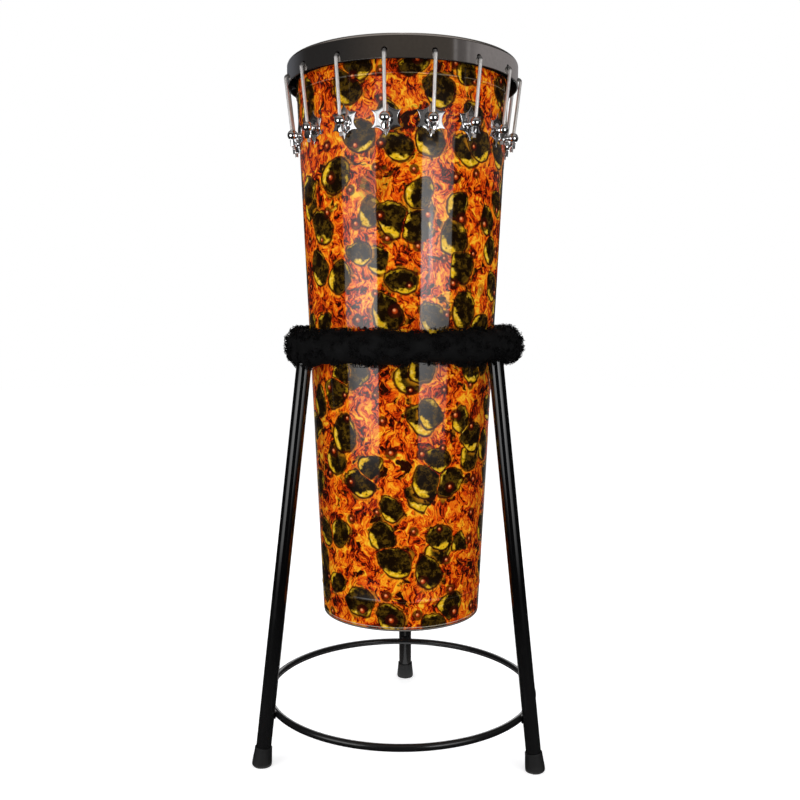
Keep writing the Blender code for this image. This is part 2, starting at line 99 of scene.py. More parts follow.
# Hoop, rods and lugs, read from the frame
HOOP_LOW, HOOP_HIGH = (corner.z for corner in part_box("counter_hoop"))
HOOP_R = float(radii("counter_hoop").max())
HOOP_WALL = 0.0020
BALL = Vector(JOINTS["nut_turn_01"]["pos_m"])
BALL_CENTRE_R = math.hypot(BALL.x, BALL.y)
LUG_Z = BALL.z
LUG_ANGLES = [math.atan2(*reversed(JOINTS[f"nut_turn_{n}"]["pos_m"][:2])) for n in SET_NUMBERS]
ROD_TILT = math.acos(JOINTS["nut_turn_01"]["axis"][2])
HOOK_Z = 1.1373
ROD_R = 0.00275
BALL_SEAT = 0.0062
NUT_HEIGHT = 0.0115
ROD_TIP = 0.0055

# Stand, read from the frame
FOOT_CIRCLE_R = math.hypot(*MOUNTS["foot_rear"]["pos_m"][:2])
LEG_ANGLES = {side: math.atan2(*reversed(MOUNTS[f"foot_{side}"]["pos_m"][:2])) for side in LEG_SIDES}
COLLAR_Z = sum(corner.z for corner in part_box("collar_ring")) / 2
COLLAR_TUBE_R = (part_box("collar_ring")[1].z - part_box("collar_ring")[0].z) / 2
COLLAR_R = float(radii("collar_ring").max()) - COLLAR_TUBE_R
FLOOR_RING_Z = sum(corner.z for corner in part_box("floor_ring")) / 2
FLOOR_RING_R = float(radii("floor_ring").max() + radii("floor_ring").min()) / 2
LEG_TILT = math.atan2(FOOT_CIRCLE_R - COLLAR_R, COLLAR_Z)
LEG_RUN = math.hypot(FOOT_CIRCLE_R - COLLAR_R, COLLAR_Z)
LEG_R = 0.0125


def shell_radius(z):
    """Outer radius of the shell's cone at height z."""
    return SHELL_BOTTOM_R + SHELL_SLOPE * (z - SHELL_LOW)


# Properties that a user would change


class WrapLook(bpy.types.PropertyGroup):
    """Colours and scale of the printed wrap."""

    ember: FloatVectorProperty(
        name="Ember", description="Darkest colour of the flames", subtype="COLOR",
        default=(0.068, 0.006, 0.001))
    flame: FloatVectorProperty(
        name="Flame", description="Main colour of the flames", subtype="COLOR",
        default=(0.76, 0.066, 0.002))
    glow: FloatVectorProperty(
        name="Glow", description="Brightest colour of the flames", subtype="COLOR",
        default=(0.94, 0.352, 0.010))
    pebble: FloatVectorProperty(
        name="Pebble", description="Colour of the dark pebbles", subtype="COLOR",
        default=(0.0070, 0.0028, 0.0005))
    sheen: FloatVectorProperty(
        name="Pebble sheen", description="Colour of the pebbles' bright edges", subtype="COLOR",
        default=(0.80, 0.46, 0.010))
    pebble_height: FloatProperty(
        name="Pebble height", description="Height of a pebble", unit="LENGTH", default=0.056)
    pebble_width: FloatProperty(
        name="Pebble width", description="Width of a pebble", unit="LENGTH", default=0.043)
    spacing: FloatProperty(
        name="Spacing", description="Usual distance of two pebbles", unit="LENGTH", default=0.068)
    drop_width: FloatProperty(
        name="Drop width", description="Width of a molten drop", unit="LENGTH", default=0.0088)


class MetalLook(bpy.types.PropertyGroup):
    """Colours of the plated hardware and the painted stand."""

    chrome: FloatVectorProperty(
        name="Chrome", description="Colour of lugs and nuts", subtype="COLOR",
        default=(0.90, 0.90, 0.91))
    steel: FloatVectorProperty(
        name="Rod steel", description="Colour of the tension rods", subtype="COLOR",
        default=(0.90, 0.86, 0.83))
    dark_chrome: FloatVectorProperty(
        name="Dark chrome", description="Colour of the counter hoop", subtype="COLOR",
        default=(0.74, 0.71, 0.68))
    paint: FloatVectorProperty(
        name="Paint", description="Colour of the stand's enamel", subtype="COLOR",
        default=(0.0014, 0.0014, 0.0016))


class SoftLook(bpy.types.PropertyGroup):
    """Fur, rubber, film and bare wood."""

    fur: FloatVectorProperty(
        name="Fur", description="Colour of the pile", subtype="COLOR",
        default=(0.0030, 0.0030, 0.0033))
    rubber: FloatVectorProperty(
        name="Rubber", description="Colour of the feet", subtype="COLOR",
        default=(0.0058, 0.0058, 0.0060))
    film: FloatVectorProperty(
        name="Film", description="Colour of the coated head", subtype="COLOR",
        default=(0.80, 0.78, 0.72))
    wood: FloatVectorProperty(
        name="Wood", description="Colour of the bare ply inside", subtype="COLOR",
        default=(0.50, 0.33, 0.18))
    clumps: IntProperty(
        name="Clumps", description="Curled clumps in the pile", default=560)
    locks: IntProperty(
        name="Locks", description="Locks in one clump", default=8)
    lock_length: FloatProperty(
        name="Lock length", description="Length of one curled lock", unit="LENGTH", default=0.0155)
    seed: IntProperty(name="Seed", description="Start of the fur's random draws", default=11)


class StudioLook(bpy.types.PropertyGroup):
    """Camera and lights."""

    lens: FloatProperty(name="Lens", description="Focal length in millimetres", default=40.9)
    camera_distance: FloatProperty(
        name="Camera distance", description="From the drum's axis", unit="LENGTH", default=1.579)
    camera_height: FloatProperty(
        name="Camera height", description="Above the floor", unit="LENGTH", default=0.7365)
    camera_turn: FloatProperty(
        name="Camera turn", description="Round the drum from the front", subtype="ANGLE",
        default=math.radians(2.0))
    camera_pitch: FloatProperty(
        name="Camera pitch", description="Below the horizon", subtype="ANGLE",
        default=math.radians(4.95))
    camera_pan: FloatProperty(
        name="Camera pan", description="Aim to the left of the drum's axis", subtype="ANGLE",
        default=math.radians(0.115))
    camera_roll: FloatProperty(
        name="Camera roll", description="Lean of the camera to its left", subtype="ANGLE",
        default=math.radians(0.16))
    box_radiance: FloatProperty(
        name="Softbox radiance", description="Brightness of a softbox's face", default=2.3)
    fill: FloatProperty(name="Fill", description="Strength of the even light", default=0.62)


# Shader nodes


class Wire:
    """An output socket. Arithmetic on it adds Math nodes to its material."""

    def __init__(self, graph, socket):
        self.graph = graph
        self.socket = socket

    def math(self, operation, *values, clamp=False):
        settings = {"operation": operation, "use_clamp": clamp}
        return self.graph.add("ShaderNodeMath", settings, *values)["Value"]

    def __add__(self, other):
        return self.math("ADD", self, other)

    def __radd__(self, other):
        return self.math("ADD", other, self)

    def __sub__(self, other):
        return self.math("SUBTRACT", self, other)

    def __rsub__(self, other):
        return self.math("SUBTRACT", other, self)

    def __mul__(self, other):
        return self.math("MULTIPLY", self, other)

    def __rmul__(self, other):
        return self.math("MULTIPLY", other, self)

    def __truediv__(self, other):
        return self.math("DIVIDE", self, other)

    def __rtruediv__(self, other):
        return self.math("DIVIDE", other, self)

    def __pow__(self, other):
        return self.math("POWER", self, other)

    def __lt__(self, other):
        return self.math("LESS_THAN", self, other)

    def __gt__(self, other):
        return self.math("GREATER_THAN", self, other)

    def __mod__(self, other):
        return self.math("FLOORED_MODULO", self, other)

    def __abs__(self):
        return self.math("ABSOLUTE", self)

    def floor(self):
        return self.math("FLOOR", self)

    def ramp(self, low, high):
        """0 below low, 1 above high, and smooth between. Low may be the larger."""
        settings = {"interpolation_type": "SMOOTHSTEP"}
        named = {"Value": self, "From Min": low, "From Max": high}
        return self.graph.add("ShaderNodeMapRange", settings, **named)["Result"]


class Nodes:
    """The outputs of one added node, by name."""

    def __init__(self, graph, node):
        self.graph = graph
        self.node = node

    def __getitem__(self, name):
        shown = [socket for socket in self.node.outputs if socket.enabled and socket.name == name]
        return Wire(self.graph, shown[0])


class Graph:
    """A material's or the world's nodes, added one call at a time."""

    def __init__(self, owner):
        owner.use_nodes = True
        self.tree = owner.node_tree
        self.tree.nodes.clear()

    def feed(self, socket, value):
        if isinstance(value, Wire):
            self.tree.links.new(value.socket, socket)
        elif hasattr(socket.default_value, "__len__") and len(socket.default_value) == 4:
            socket.default_value = (*tuple(value)[:3], 1.0)
        else:
            socket.default_value = value

    def add(self, kind, settings=None, *values, **named):
        """Adds a node, sets what it is, then feeds its sockets by place or by name."""
        node = self.tree.nodes.new(kind)
        for key, value in (settings or {}).items():
            if key == "stops":
                self.set_stops(node.color_ramp, value)
            else:
                setattr(node, key, value)
        shown = [socket for socket in node.inputs if socket.enabled]
        for socket, value in zip(shown, values):
            self.feed(socket, value)
        for name, value in named.items():
            self.feed(next(socket for socket in shown if socket.name == name), value)
        return Nodes(self, node)

    def set_stops(self, ramp, stops):
        while len(ramp.elements) < len(stops):
            ramp.elements.new(0.5)
        for element, (place, colour) in zip(ramp.elements, stops):
            element.position = place
            element.color = (*tuple(colour)[:3], 1.0)

    def mix(self, factor, first, second, blend="MIX"):
        """Mixes two colours."""
        settings = {"data_type": "RGBA", "blend_type": blend}
        return self.add("ShaderNodeMix", settings, Factor=factor, A=first, B=second)["Result"]

    def place(self):
        """Object coordinates, in metres."""
        return self.add("ShaderNodeTexCoord")["Object"]

    def split(self, vector):
        parts = self.add("ShaderNodeSeparateXYZ", None, vector)
        return parts["X"], parts["Y"], parts["Z"]

    def join(self, x, y, z=0.0):
        return self.add("ShaderNodeCombineXYZ", None, x, y, z)["Vector"]

    def noise(self, vector, scale, detail=3.0, roughness=0.5, distortion=0.0, output="Fac"):
        named = {"Vector": vector, "Scale": scale, "Detail": detail, "Roughness": roughness}
        return self.add("ShaderNodeTexNoise", None, Distortion=distortion, **named)[output]

    def stretch(self, vector, by):
        settings = {"operation": "MULTIPLY"}
        return self.add("ShaderNodeVectorMath", settings, vector, by)["Vector"]

    def shift(self, vector, by):
        settings = {"operation": "ADD"}
        return self.add("ShaderNodeVectorMath", settings, vector, by)["Vector"]

    def bump(self, height, distance, strength=1.0):
        named = {"Strength": strength, "Distance": distance, "Height": height}
        return self.add("ShaderNodeBump", None, **named)["Normal"]

    def surface(self, **named):
        """Ends a material in one Principled shader. Underscores stand for the spaces in names."""
        named = {name.replace("_", " "): value for name, value in named.items()}
        shader = self.add("ShaderNodeBsdfPrincipled", None, **named)["BSDF"]
        self.add("ShaderNodeOutputMaterial", None, shader)


def new_graph(name):
    material = bpy.data.materials.new(name)
    return material, Graph(material)


def pebbles(graph, look, sheet, seed):
    """One layer of egg-shaped pebbles scattered over the sheet.

    Returns how far out of its pebble a point lies, 0 in the middle and 1 at the edge, its place
    across and up the pebble, and three random numbers that are the same all over one pebble.
    """
    wobble = graph.noise(sheet, 34.0, 2.0, output="Color")
    wobble = graph.stretch(graph.shift(wobble, (-0.5, -0.5, -0.5)), (0.012, 0.012, 0.0))
    bent = graph.shift(graph.shift(sheet, wobble), (seed, seed, 0.0))
    per_metre = 1.0 / look.spacing
    settings = {"voronoi_dimensions": "2D", "feature": "F1"}
    named = {"Vector": bent, "Scale": per_metre, "Randomness": 0.82}
    cell = graph.add("ShaderNodeTexVoronoi", settings, **named)
    settings = {"voronoi_dimensions": "2D", "feature": "DISTANCE_TO_EDGE"}
    border = graph.add("ShaderNodeTexVoronoi", settings, **named)["Distance"] / per_metre
    settings = {"operation": "SUBTRACT"}
    arm = graph.add("ShaderNodeVectorMath", settings, bent, cell["Position"])["Vector"]
    x, y, _ = graph.split(arm)
    first, second, third = graph.split(cell["Color"])
    turn = (first - 0.5) * 2.8
    cosine = turn.math("COSINE", turn)
    sine = turn.math("SINE", turn)
    size = 0.78 + 0.34 * second
    across = (x * cosine + y * sine) / (size * (look.pebble_width / 2))
    upright = (y * cosine - x * sine) / (size * (look.pebble_height / 2))
    egg = across * (1.0 + 0.22 * upright)
    reach = egg * egg + upright * upright
    reach = reach.math("SQRT", reach)
    pressed = 1.0 - (border - 0.0016) / 0.014
    return reach.math("SMOOTH_MAX", reach, pressed, 0.18), across, upright, (first, second, third)


def flames(graph, look, sheet):
    """The ground: strands of fire that curl round each other, over soot."""
    slow = graph.noise(sheet, 21.0, 2.0, output="Color")
    slow = graph.stretch(graph.shift(slow, (-0.5, -0.5, -0.5)), (0.050, 0.042, 0.0))
    quick = graph.noise(sheet, 66.0, 2.0, output="Color")
    quick = graph.stretch(graph.shift(quick, (-0.5, -0.5, -0.5)), (0.018, 0.018, 0.0))
    curled = graph.shift(graph.shift(sheet, slow), quick)
    long = graph.stretch(curled, (1.0, 0.50, 1.0))
    strand = graph.noise(long, 128.0, 5.0, 0.68, 0.25)
    thread = graph.noise(long, 330.0, 3.0, 0.66)
    broad = graph.noise(curled, 27.0, 3.0, 0.55)
    crease = abs(graph.noise(long, 92.0, 3.0, 0.55) - 0.5) * 2.0
    heat = 0.535 + (strand - 0.5) * 1.16 + (broad - 0.5) * 1.10 + (thread - 0.5) * 0.66
    heat = heat - crease.ramp(0.13, 0.0) * 0.19
    vein = abs(graph.noise(curled, 15.0, 3.0, 0.6) - 0.5)
    heat = heat + vein.ramp(0.034, 0.0) * 0.17
    deep = (look.flame[0] * 0.43, look.flame[1] * 0.22, look.flame[2] * 0.5)
    orange = tuple(0.70 * a + 0.30 * b for a, b in zip(look.flame, look.glow))
    soot = tuple(0.26 * part for part in look.ember)
    stops = [
        (0.225, soot), (0.33, look.ember), (0.425, deep), (0.51, look.flame), (0.60, orange),
        (0.73, look.glow), (0.90, (0.95, 0.56, 0.030)),
    ]
    colour = graph.add("ShaderNodeValToRGB", {"stops": stops}, heat)["Color"]
    cloud = graph.noise(graph.shift(curled, (3.1, 1.7, 0.0)), 26.0, 5.0, 0.62, 0.3)
    smoke = cloud.ramp(0.572, 0.62)
    dull = graph.mix(thread.ramp(0.50, 0.66), soot, (0.036, 0.013, 0.002))
    return graph.mix(smoke, colour, dull)


def drops(graph, look, sheet, colour):
    """Lays small round molten drops over the colour, each with a dark rim and a glint. They
    stand alone: where two would come within DROP_GAP of each other, both are left out."""
    settings = {"voronoi_dimensions": "2D", "feature": "F1"}
    named = {"Vector": sheet, "Scale": 1.0 / DROP_SPACING, "Randomness": 0.62}
    cell = graph.add("ShaderNodeTexVoronoi", settings, **named)
    settings = {"voronoi_dimensions": "2D", "feature": "N_SPHERE_RADIUS"}
    clear = graph.add("ShaderNodeTexVoronoi", settings, **named)["Radius"] * (2 * DROP_SPACING)
    arm = graph.add("ShaderNodeVectorMath", {"operation": "SUBTRACT"}, sheet, cell["Position"])["Vector"]
    x, y, _ = graph.split(arm)
    first, second, third = graph.split(cell["Color"])
    size = (0.75 + 0.5 * first) * (look.drop_width / 2)
    reach = (x * x + y * y).math("SQRT", x * x + y * y) / size
    x, y = x / size + 0.22, y / size - 0.28
    glint = (x * x + y * y).math("SQRT", x * x + y * y)
    kept = clear.ramp(DROP_GAP, DROP_GAP + 0.0001) * third.ramp(0.06, 0.07)
    drop = graph.mix(reach.ramp(1.0, 0.35), (0.055, 0.004, 0.001), (0.50, 0.055, 0.006))
    drop = graph.mix(glint.ramp(0.62, 0.10), drop, (0.92, 0.36, 0.13))
    colour = graph.mix(reach.ramp(2.35, 1.75) * kept * 0.86, colour, (0.030, 0.0024, 0.001))
    return graph.mix(reach.ramp(1.06, 0.94) * kept, colour, drop)


def wrap_material(look):
    """The printed wrap: fire with dark pebbles and molten drops in it, under clear gloss, with painted highlights
    and shade along the beads and painted shade under the hoop.
    """
    material, graph = new_graph("glossy_flame_wrap")
    sheet = graph.add("ShaderNodeUVMap", {"uv_map": WRAP_SHEET})["UV"]
    place = graph.place()
    colour = flames(graph, look, sheet)
    grain = graph.noise(sheet, 150.0, 4.0, 0.62)
    blotch = graph.noise(sheet, 62.0, 3.0, 0.6)
    for seed, share in ((7.3, 0.84), (0.0, 0.16)):
        inside, across, upright, draws = pebbles(graph, look, sheet, seed)
        kept = draws[2].ramp(share, share + 0.01)
        frayed = (across * 0.55 + upright * 0.60).ramp(0.25, 0.95)
        ragged = inside + (grain - 0.5) * (0.14 + 0.50 * frayed)
        body = ragged.ramp(1.0, 0.955) * kept
        ring = ragged.ramp(1.11, 1.05) * kept
        halo = ragged.ramp(1.34, 1.12) * kept * blotch.ramp(0.44, 0.56)
        low_side = (0.0 - across) * 0.78 - upright * 0.52 + (blotch - 0.5) * 1.1
        high_side = across * 0.62 + upright * 0.70 + (blotch - 0.5) * 0.9
        lit = low_side.ramp(0.50, 0.72) + high_side.ramp(0.66, 0.88) * 0.8
        lit = lit * ragged.ramp(0.99, 0.90) * ragged.ramp(0.45, 0.66)
        mottle = blotch.ramp(0.42, 0.60) * grain.ramp(0.38, 0.58)
        face = graph.mix(mottle, look.pebble, (0.082, 0.043, 0.003))
        face = graph.mix(lit.math("MINIMUM", lit * grain.ramp(0.30, 0.47), 1.0), face, look.sheen)
        face = graph.mix(lit * grain.ramp(0.50, 0.64) * 0.8, face, (0.96, 0.68, 0.12))
        rim = ragged.ramp(0.88, 0.93) * ragged.ramp(0.985, 0.95)
        face = graph.mix(rim * blotch.ramp(0.42, 0.60) * 0.5, face, (0.22, 0.090, 0.005))
        colour = graph.mix(halo * 0.38, colour, look.glow)
        colour = graph.mix(ring * 0.92, colour, (0.024, 0.003, 0.001))
        colour = graph.mix(body, colour, face)
    colour = drops(graph, look, sheet, colour)
    x, y, z = graph.split(place)
    # Painted highlight, patchy, along each bead's crest, and a painted shade line just under each bead.
    for height, highlight_share in ((SHELL_HIGH - BEAD_DROP, 0.28), (SHELL_LOW + BEAD_RISE, 0.06)):
        crest = abs(z - height - 0.0006).ramp(0.0010, 0.0003) * blotch.ramp(0.30, 0.50)
        colour = graph.mix(crest * highlight_share, colour, (0.42, 0.36, 0.26))
        under = abs(z - height + 0.0018).ramp(0.0012, 0.0004)
        colour = graph.mix(under * 0.50, colour, (0.012, 0.005, 0.001))
    colour = graph.mix(z.ramp(SHELL_LOW + 0.0062, SHELL_LOW + 0.0056) * 0.45, colour, (0.030, 0.020, 0.012))
    line = abs(z - (SHELL_LOW + 0.0062)).ramp(0.0008, 0.0003)
    colour = graph.mix(line * 0.75, colour, (0.46, 0.42, 0.33))
    # Painted shade: the print turns near black under the hoop, where it lies in shade.
    colour = graph.mix(z.ramp(HOOP_LOW + 0.002, HOOP_LOW + 0.004), colour, (0.010, 0.008, 0.007))
    seam = abs(x + y * math.tan(SEAM_ANGLE - math.pi / 2)) + (y < 0.0)
    colour = graph.mix(seam.ramp(0.0009, 0.0004) * 0.85, colour, (0.02, 0.012, 0.008))
    waves = graph.noise(place, 26.0, 2.0)
    gloss = 0.035 + 0.045 * graph.noise(place, 190.0, 3.0)
    normal = graph.bump(waves, 0.0005, 0.35)
    graph.surface(Base_Color=colour, Roughness=gloss, Normal=normal, IOR=1.50)
    return material


def plated_material(name, colour, rough, metal=1.0, thread=False):
    """Bright plating with a faint haze and polishing marks. Rods show their thread low down, with painted shade in
    its grooves, and a painted dark reflection on the hook's bend.
    """
    material, graph = new_graph(name)
    place = graph.place()
    haze = graph.noise(place, 160.0, 4.0, 0.6)
    marks = graph.noise(graph.stretch(place, (1.0, 1.0, 9.0)), 240.0, 3.0, 0.6)
    shade = graph.mix(haze.ramp(0.35, 0.75) * 0.5, colour, tuple(0.88 * part for part in colour))
    roughness = rough + 0.05 * haze + 0.03 * marks
    height = marks * 0.00001 + haze * 0.00002
    normal = graph.bump(height, 1.0, 0.5)
    if thread:
        z = graph.split(place)[2]
        turns = (z * (math.tau / 0.00106)).math("SINE", z * (math.tau / 0.00106))
        cut = z.ramp(LUG_Z + 0.004, LUG_Z)
        normal = graph.bump(turns * cut * 0.00022 + height, 1.0, 0.8)
        # Painted shade in the thread's grooves.
        shade = graph.mix(cut * turns.ramp(0.2, -0.6) * 0.6, shade, (0.20, 0.19, 0.18))
        # Painted dark reflection on the hook's bend.
        shade = graph.mix(z.ramp(HOOK_Z - 0.0055, HOOK_Z - 0.0020), shade, (0.17, 0.165, 0.16))
    graph.surface(Base_Color=shade, Roughness=roughness, Metallic=metal, Normal=normal)
    return material


def enamel_material(colour):
    """Gloss black paint with slight orange peel, paler and rougher towards the floor."""
    material, graph = new_graph("black_enamel")
    place = graph.place()
    peel = graph.noise(place, 420.0, 2.0)
    wear = graph.noise(graph.stretch(place, (1.0, 1.0, 0.35)), 46.0, 5.0, 0.65)
    dust = graph.noise(place, 900.0, 2.0).ramp(0.70, 0.78)
    low = graph.split(place)[2].ramp(0.34, 0.05)
    shade = graph.mix(wear.ramp(0.52, 0.80) * 0.5, colour, (0.005, 0.005, 0.0055))
    shade = graph.mix(dust * 0.20, shade, (0.03, 0.03, 0.03))
    # Paler towards the floor.
    shade = graph.mix(low * 0.7, shade, (0.0085, 0.0085, 0.0088))
    roughness = 0.07 + 0.07 * wear.ramp(0.40, 0.75) + 0.12 * low
    normal = graph.bump(peel * 0.00002 + wear * 0.00004, 1.0, 0.6)
    graph.surface(Base_Color=shade, Roughness=roughness, Normal=normal, IOR=1.52)
    return material


def dark_steel_and_painted_shade_material():
    """Raw steel, browned and dusty, for the flesh hoop and the band's inner side and lower edge. Its darkness is
    partly the steel's own and partly painted shade under the hoop.
    """
    made = bpy.data.materials.get("raw_rim")
    if made:
        return made
    material, graph = new_graph("raw_rim")
    place = graph.place()
    stain = graph.noise(place, 90.0, 4.0, 0.6)
    # Painted shade: these dark greys also stand for the shade under the hoop.
    shade = graph.mix(stain.ramp(0.35, 0.70), (0.016, 0.015, 0.015), (0.034, 0.030, 0.028))
    normal = graph.bump(stain * 0.00005, 1.0, 0.5)
    graph.surface(Base_Color=shade, Roughness=0.48 + 0.2 * stain, Metallic=0.6, Normal=normal)
    return material


def rubber_material(colour):
    """Moulded rubber: matt, with a fine grain and a dusty bloom near the floor."""
    material, graph = new_graph("moulded_rubber")
    place = graph.place()
    grain = graph.noise(place, 1500.0, 3.0, 0.6)
    bloom = graph.noise(place, 120.0, 4.0, 0.6)
    low = graph.split(place)[2].ramp(0.016, 0.0)
    shade = graph.mix(bloom.ramp(0.40, 0.75) * 0.5, colour, (0.0115, 0.0115, 0.0118))
    shade = graph.mix(low * bloom * 0.6, shade, (0.026, 0.025, 0.024))
    normal = graph.bump(grain * 0.00006 + bloom * 0.0001, 1.0, 0.6)
    graph.surface(Base_Color=shade, Roughness=0.55 + 0.25 * bloom, Normal=normal)
    return material


def fur_material(name, colour, depth):
    """Long black pile: darker at the roots, with a faint cool sheen on the curls."""
    material, graph = new_graph(name)
    place = graph.place()
    clump = graph.noise(place, 70.0, 3.0, 0.6)
    fibre = graph.noise(graph.stretch(place, (1.0, 1.0, 2.0)), 1300.0, 2.0, 0.7)
    shade = graph.mix(clump.ramp(0.35, 0.70), tuple(depth * part for part in colour), colour)
    shade = graph.mix(fibre.ramp(0.62, 0.80) * 0.4, shade, (0.013, 0.013, 0.014))
    normal = graph.bump(fibre * 0.00025, 1.0, 0.8)
    graph.surface(
        Base_Color=shade, Roughness=0.70 + 0.25 * fibre, Normal=normal,
        Specular_IOR_Level=0.16)
    return material


def film_material(colour):
    """Coated drumhead: milky film with a fine sprayed grain, played smoother in the middle."""
    material, graph = new_graph("coated_film")
    place = graph.place()
    x, y, z = graph.split(place)
    reach = (x * x + y * y).math("SQRT", x * x + y * y)
    spray = graph.noise(place, 950.0, 3.0, 0.7)
    cloud = graph.noise(place, 14.0, 4.0, 0.6)
    played = reach.ramp(0.115, 0.030) * cloud.ramp(0.30, 0.65)
    shade = graph.mix(cloud.ramp(0.30, 0.75) * 0.5, colour, (0.72, 0.69, 0.61))
    shade = graph.mix(played * 0.25, shade, (0.62, 0.58, 0.50))
    shade = graph.mix(spray.ramp(0.60, 0.75) * 0.25, shade, (0.88, 0.87, 0.83))
    normal = graph.bump(spray * 0.00006, 1.0, 0.7)
    roughness = 0.52 - 0.16 * played + 0.10 * spray
    graph.surface(Base_Color=shade, Roughness=roughness, Normal=normal)
    return material


def wood_material(colour):
    """Bare ply: upright grain with pores, and thin darker plies on the cut edges."""
    material, graph = new_graph("bare_ply")
    place = graph.place()
    x, y, z = graph.split(place)
    angle = x.math("ARCTAN2", y, x)
    sheet = graph.join(angle * 0.16, z * 0.06, 0.0)
    figure = graph.noise(sheet, 60.0, 5.0, 0.6, 0.8)
    pores = graph.noise(graph.stretch(sheet, (9.0, 1.4, 1.0)), 160.0, 3.0, 0.6)
    dark = tuple(0.55 * part for part in colour)
    shade = graph.mix(figure.ramp(0.35, 0.68), dark, colour)
    shade = graph.mix(pores.ramp(0.62, 0.74) * 0.6, shade, tuple(0.3 * part for part in colour))
    normal = graph.bump(pores * 0.0001 + figure * 0.0001, 1.0, 0.5)
    graph.surface(Base_Color=shade, Roughness=0.48 + 0.14 * figure, Normal=normal)
    return material


def lip_material():
    """The shell's cut lower edge, sealed in satin grey."""
    material, graph = new_graph("sealed_edge")
    place = graph.place()
    blotch = graph.noise(place, 180.0, 4.0, 0.6)
    plies = graph.noise(graph.stretch(place, (1.0, 1.0, 22.0)), 60.0, 2.0)
    shade = graph.mix(blotch, (0.11, 0.095, 0.080), (0.20, 0.18, 0.16))
    shade = graph.mix(plies.ramp(0.45, 0.60) * 0.5, shade, (0.07, 0.055, 0.045))
    normal = graph.bump(blotch * 0.00008, 1.0, 0.6)
    graph.surface(Base_Color=shade, Roughness=0.38 + 0.2 * blotch, Normal=normal)
    return material


# Modelling


def select_only(obj):
    for other in bpy.context.selected_objects:
        other.select_set(False)
    obj.select_set(True)
    bpy.context.view_layer.objects.active = obj


def edit(obj):
    select_only(obj)
    bpy.ops.object.mode_set(mode="EDIT")
    bpy.ops.mesh.select_mode(type="VERT")
    bpy.ops.mesh.select_all(action="SELECT")


def leave_edit():
    bpy.ops.object.mode_set(mode="OBJECT")


def cursor_primitive(add, name, **settings):
    """Adds a primitive with nothing else selected, and names it."""
    for other in bpy.context.selected_objects:
        other.select_set(False)
    add(**settings)
    obj = bpy.context.object
    obj.name = name
    obj.data.name = name
    return obj


def apply_place(obj):
    """Puts the object's place and scale into its mesh."""
    select_only(obj)
    bpy.ops.object.transform_apply(location=True, rotation=True, scale=True)


def smooth(obj, degrees=35.0):
    select_only(obj)
    bpy.ops.object.shade_smooth_by_angle(angle=math.radians(degrees))


def finish_piece(obj, material, body, replaced=()):
    """Gives a piece its material, and says what it rides on, stands for and is painted with."""
    if material is not None:
        obj.data.materials.clear()
        obj.data.materials.append(material)
    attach(obj, body)
    if replaced:
        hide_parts(*replaced)
    return obj


def spun(name, outline, steps, closed=True):
    """Draws an outline of (radius, height) points in edit mode and spins it round the Z axis."""
    obj = cursor_primitive(bpy.ops.mesh.primitive_plane_add, name, size=0.01)
    edit(obj)
    bpy.ops.mesh.merge(type="CENTER")
    bpy.ops.transform.translate(value=(outline[0][0], 0.0, outline[0][1]))
    for before, after in zip(outline, outline[1:]):
        step = (after[0] - before[0], 0.0, after[1] - before[1])
        bpy.ops.mesh.extrude_region_move(TRANSFORM_OT_translate={"value": step})
    bpy.ops.mesh.select_all(action="SELECT")
    if closed:
        leave_edit()
        mesh = bmesh.new()
        mesh.from_mesh(obj.data)
        ends = [corner for corner in mesh.verts if len(corner.link_edges) == 1]
        mesh.edges.new(ends)
        mesh.to_mesh(obj.data)
        mesh.free()
        edit(obj)
    bpy.ops.mesh.spin(steps=steps, angle=math.tau, center=(0, 0, 0), axis=(0, 0, 1))
    bpy.ops.mesh.select_all(action="SELECT")
    bpy.ops.mesh.remove_doubles(threshold=0.000002)
    bpy.ops.mesh.normals_make_consistent(inside=False)
    leave_edit()
    return obj


def arc(centre, radius, start, end, count):
    """Points on an arc from start to end, in degrees, both ends included."""
    turns = [math.radians(start + (end - start) * i / (count - 1)) for i in range(count)]
    return [(centre[0] + radius * math.cos(a), centre[1] + radius * math.sin(a)) for a in turns]


def rounded(points, radius, count=4):
    """An open outline of points with its inner corners rounded."""
    made = [points[0]]
    for before, corner, after in zip(points, points[1:], points[2:]):
        corner = Vector(corner)
        back = Vector(before) - corner
        ahead = Vector(after) - corner
        reach = min(radius, 0.45 * back.length, 0.45 * ahead.length)
        start = corner + back.normalized() * reach
        end = corner + ahead.normalized() * reach
        for step in range(count):
            share = step / (count - 1)
            bend = start.lerp(corner, share).lerp(corner.lerp(end, share), share)
            made.append(tuple(bend))
    made.append(points[-1])
    return made


def cut(obj, other, operation="DIFFERENCE"):
    """Applies a Boolean and removes the other object."""
    modifier = obj.modifiers.new("Cut", "BOOLEAN")
    modifier.operation = operation
    modifier.object = other
    modifier.solver = "EXACT"
    select_only(obj)
    bpy.ops.object.modifier_apply(modifier=modifier.name)
    bpy.data.objects.remove(other, do_unlink=True)


def turned_copy(obj, name, matrix):
    """A copy with its own mesh, put in place by moving the mesh."""
    made = obj.copy()
    made.data = obj.data.copy()
    made.name = name
    made.data.name = name
    bpy.context.scene.collection.objects.link(made)
    made.data.transform(matrix)
    return made


def joined(name, objects):
    """Joins the objects into one piece."""
    for other in bpy.context.selected_objects:
        other.select_set(False)
    for obj in objects:
        obj.select_set(True)
    bpy.context.view_layer.objects.active = objects[0]
    bpy.ops.object.join()
    objects[0].name = name
    return objects[0]


def bead_outline(z, width=0.0048, height=0.0013, count=9):
    """A low round bead on the shell's side, from top to bottom."""
    made = []
    for step in range(count):
        share = step / (count - 1)
        here = z + width * (0.5 - share)
        made.append((shell_radius(here) + height * math.sin(math.pi * share), here))
    return made


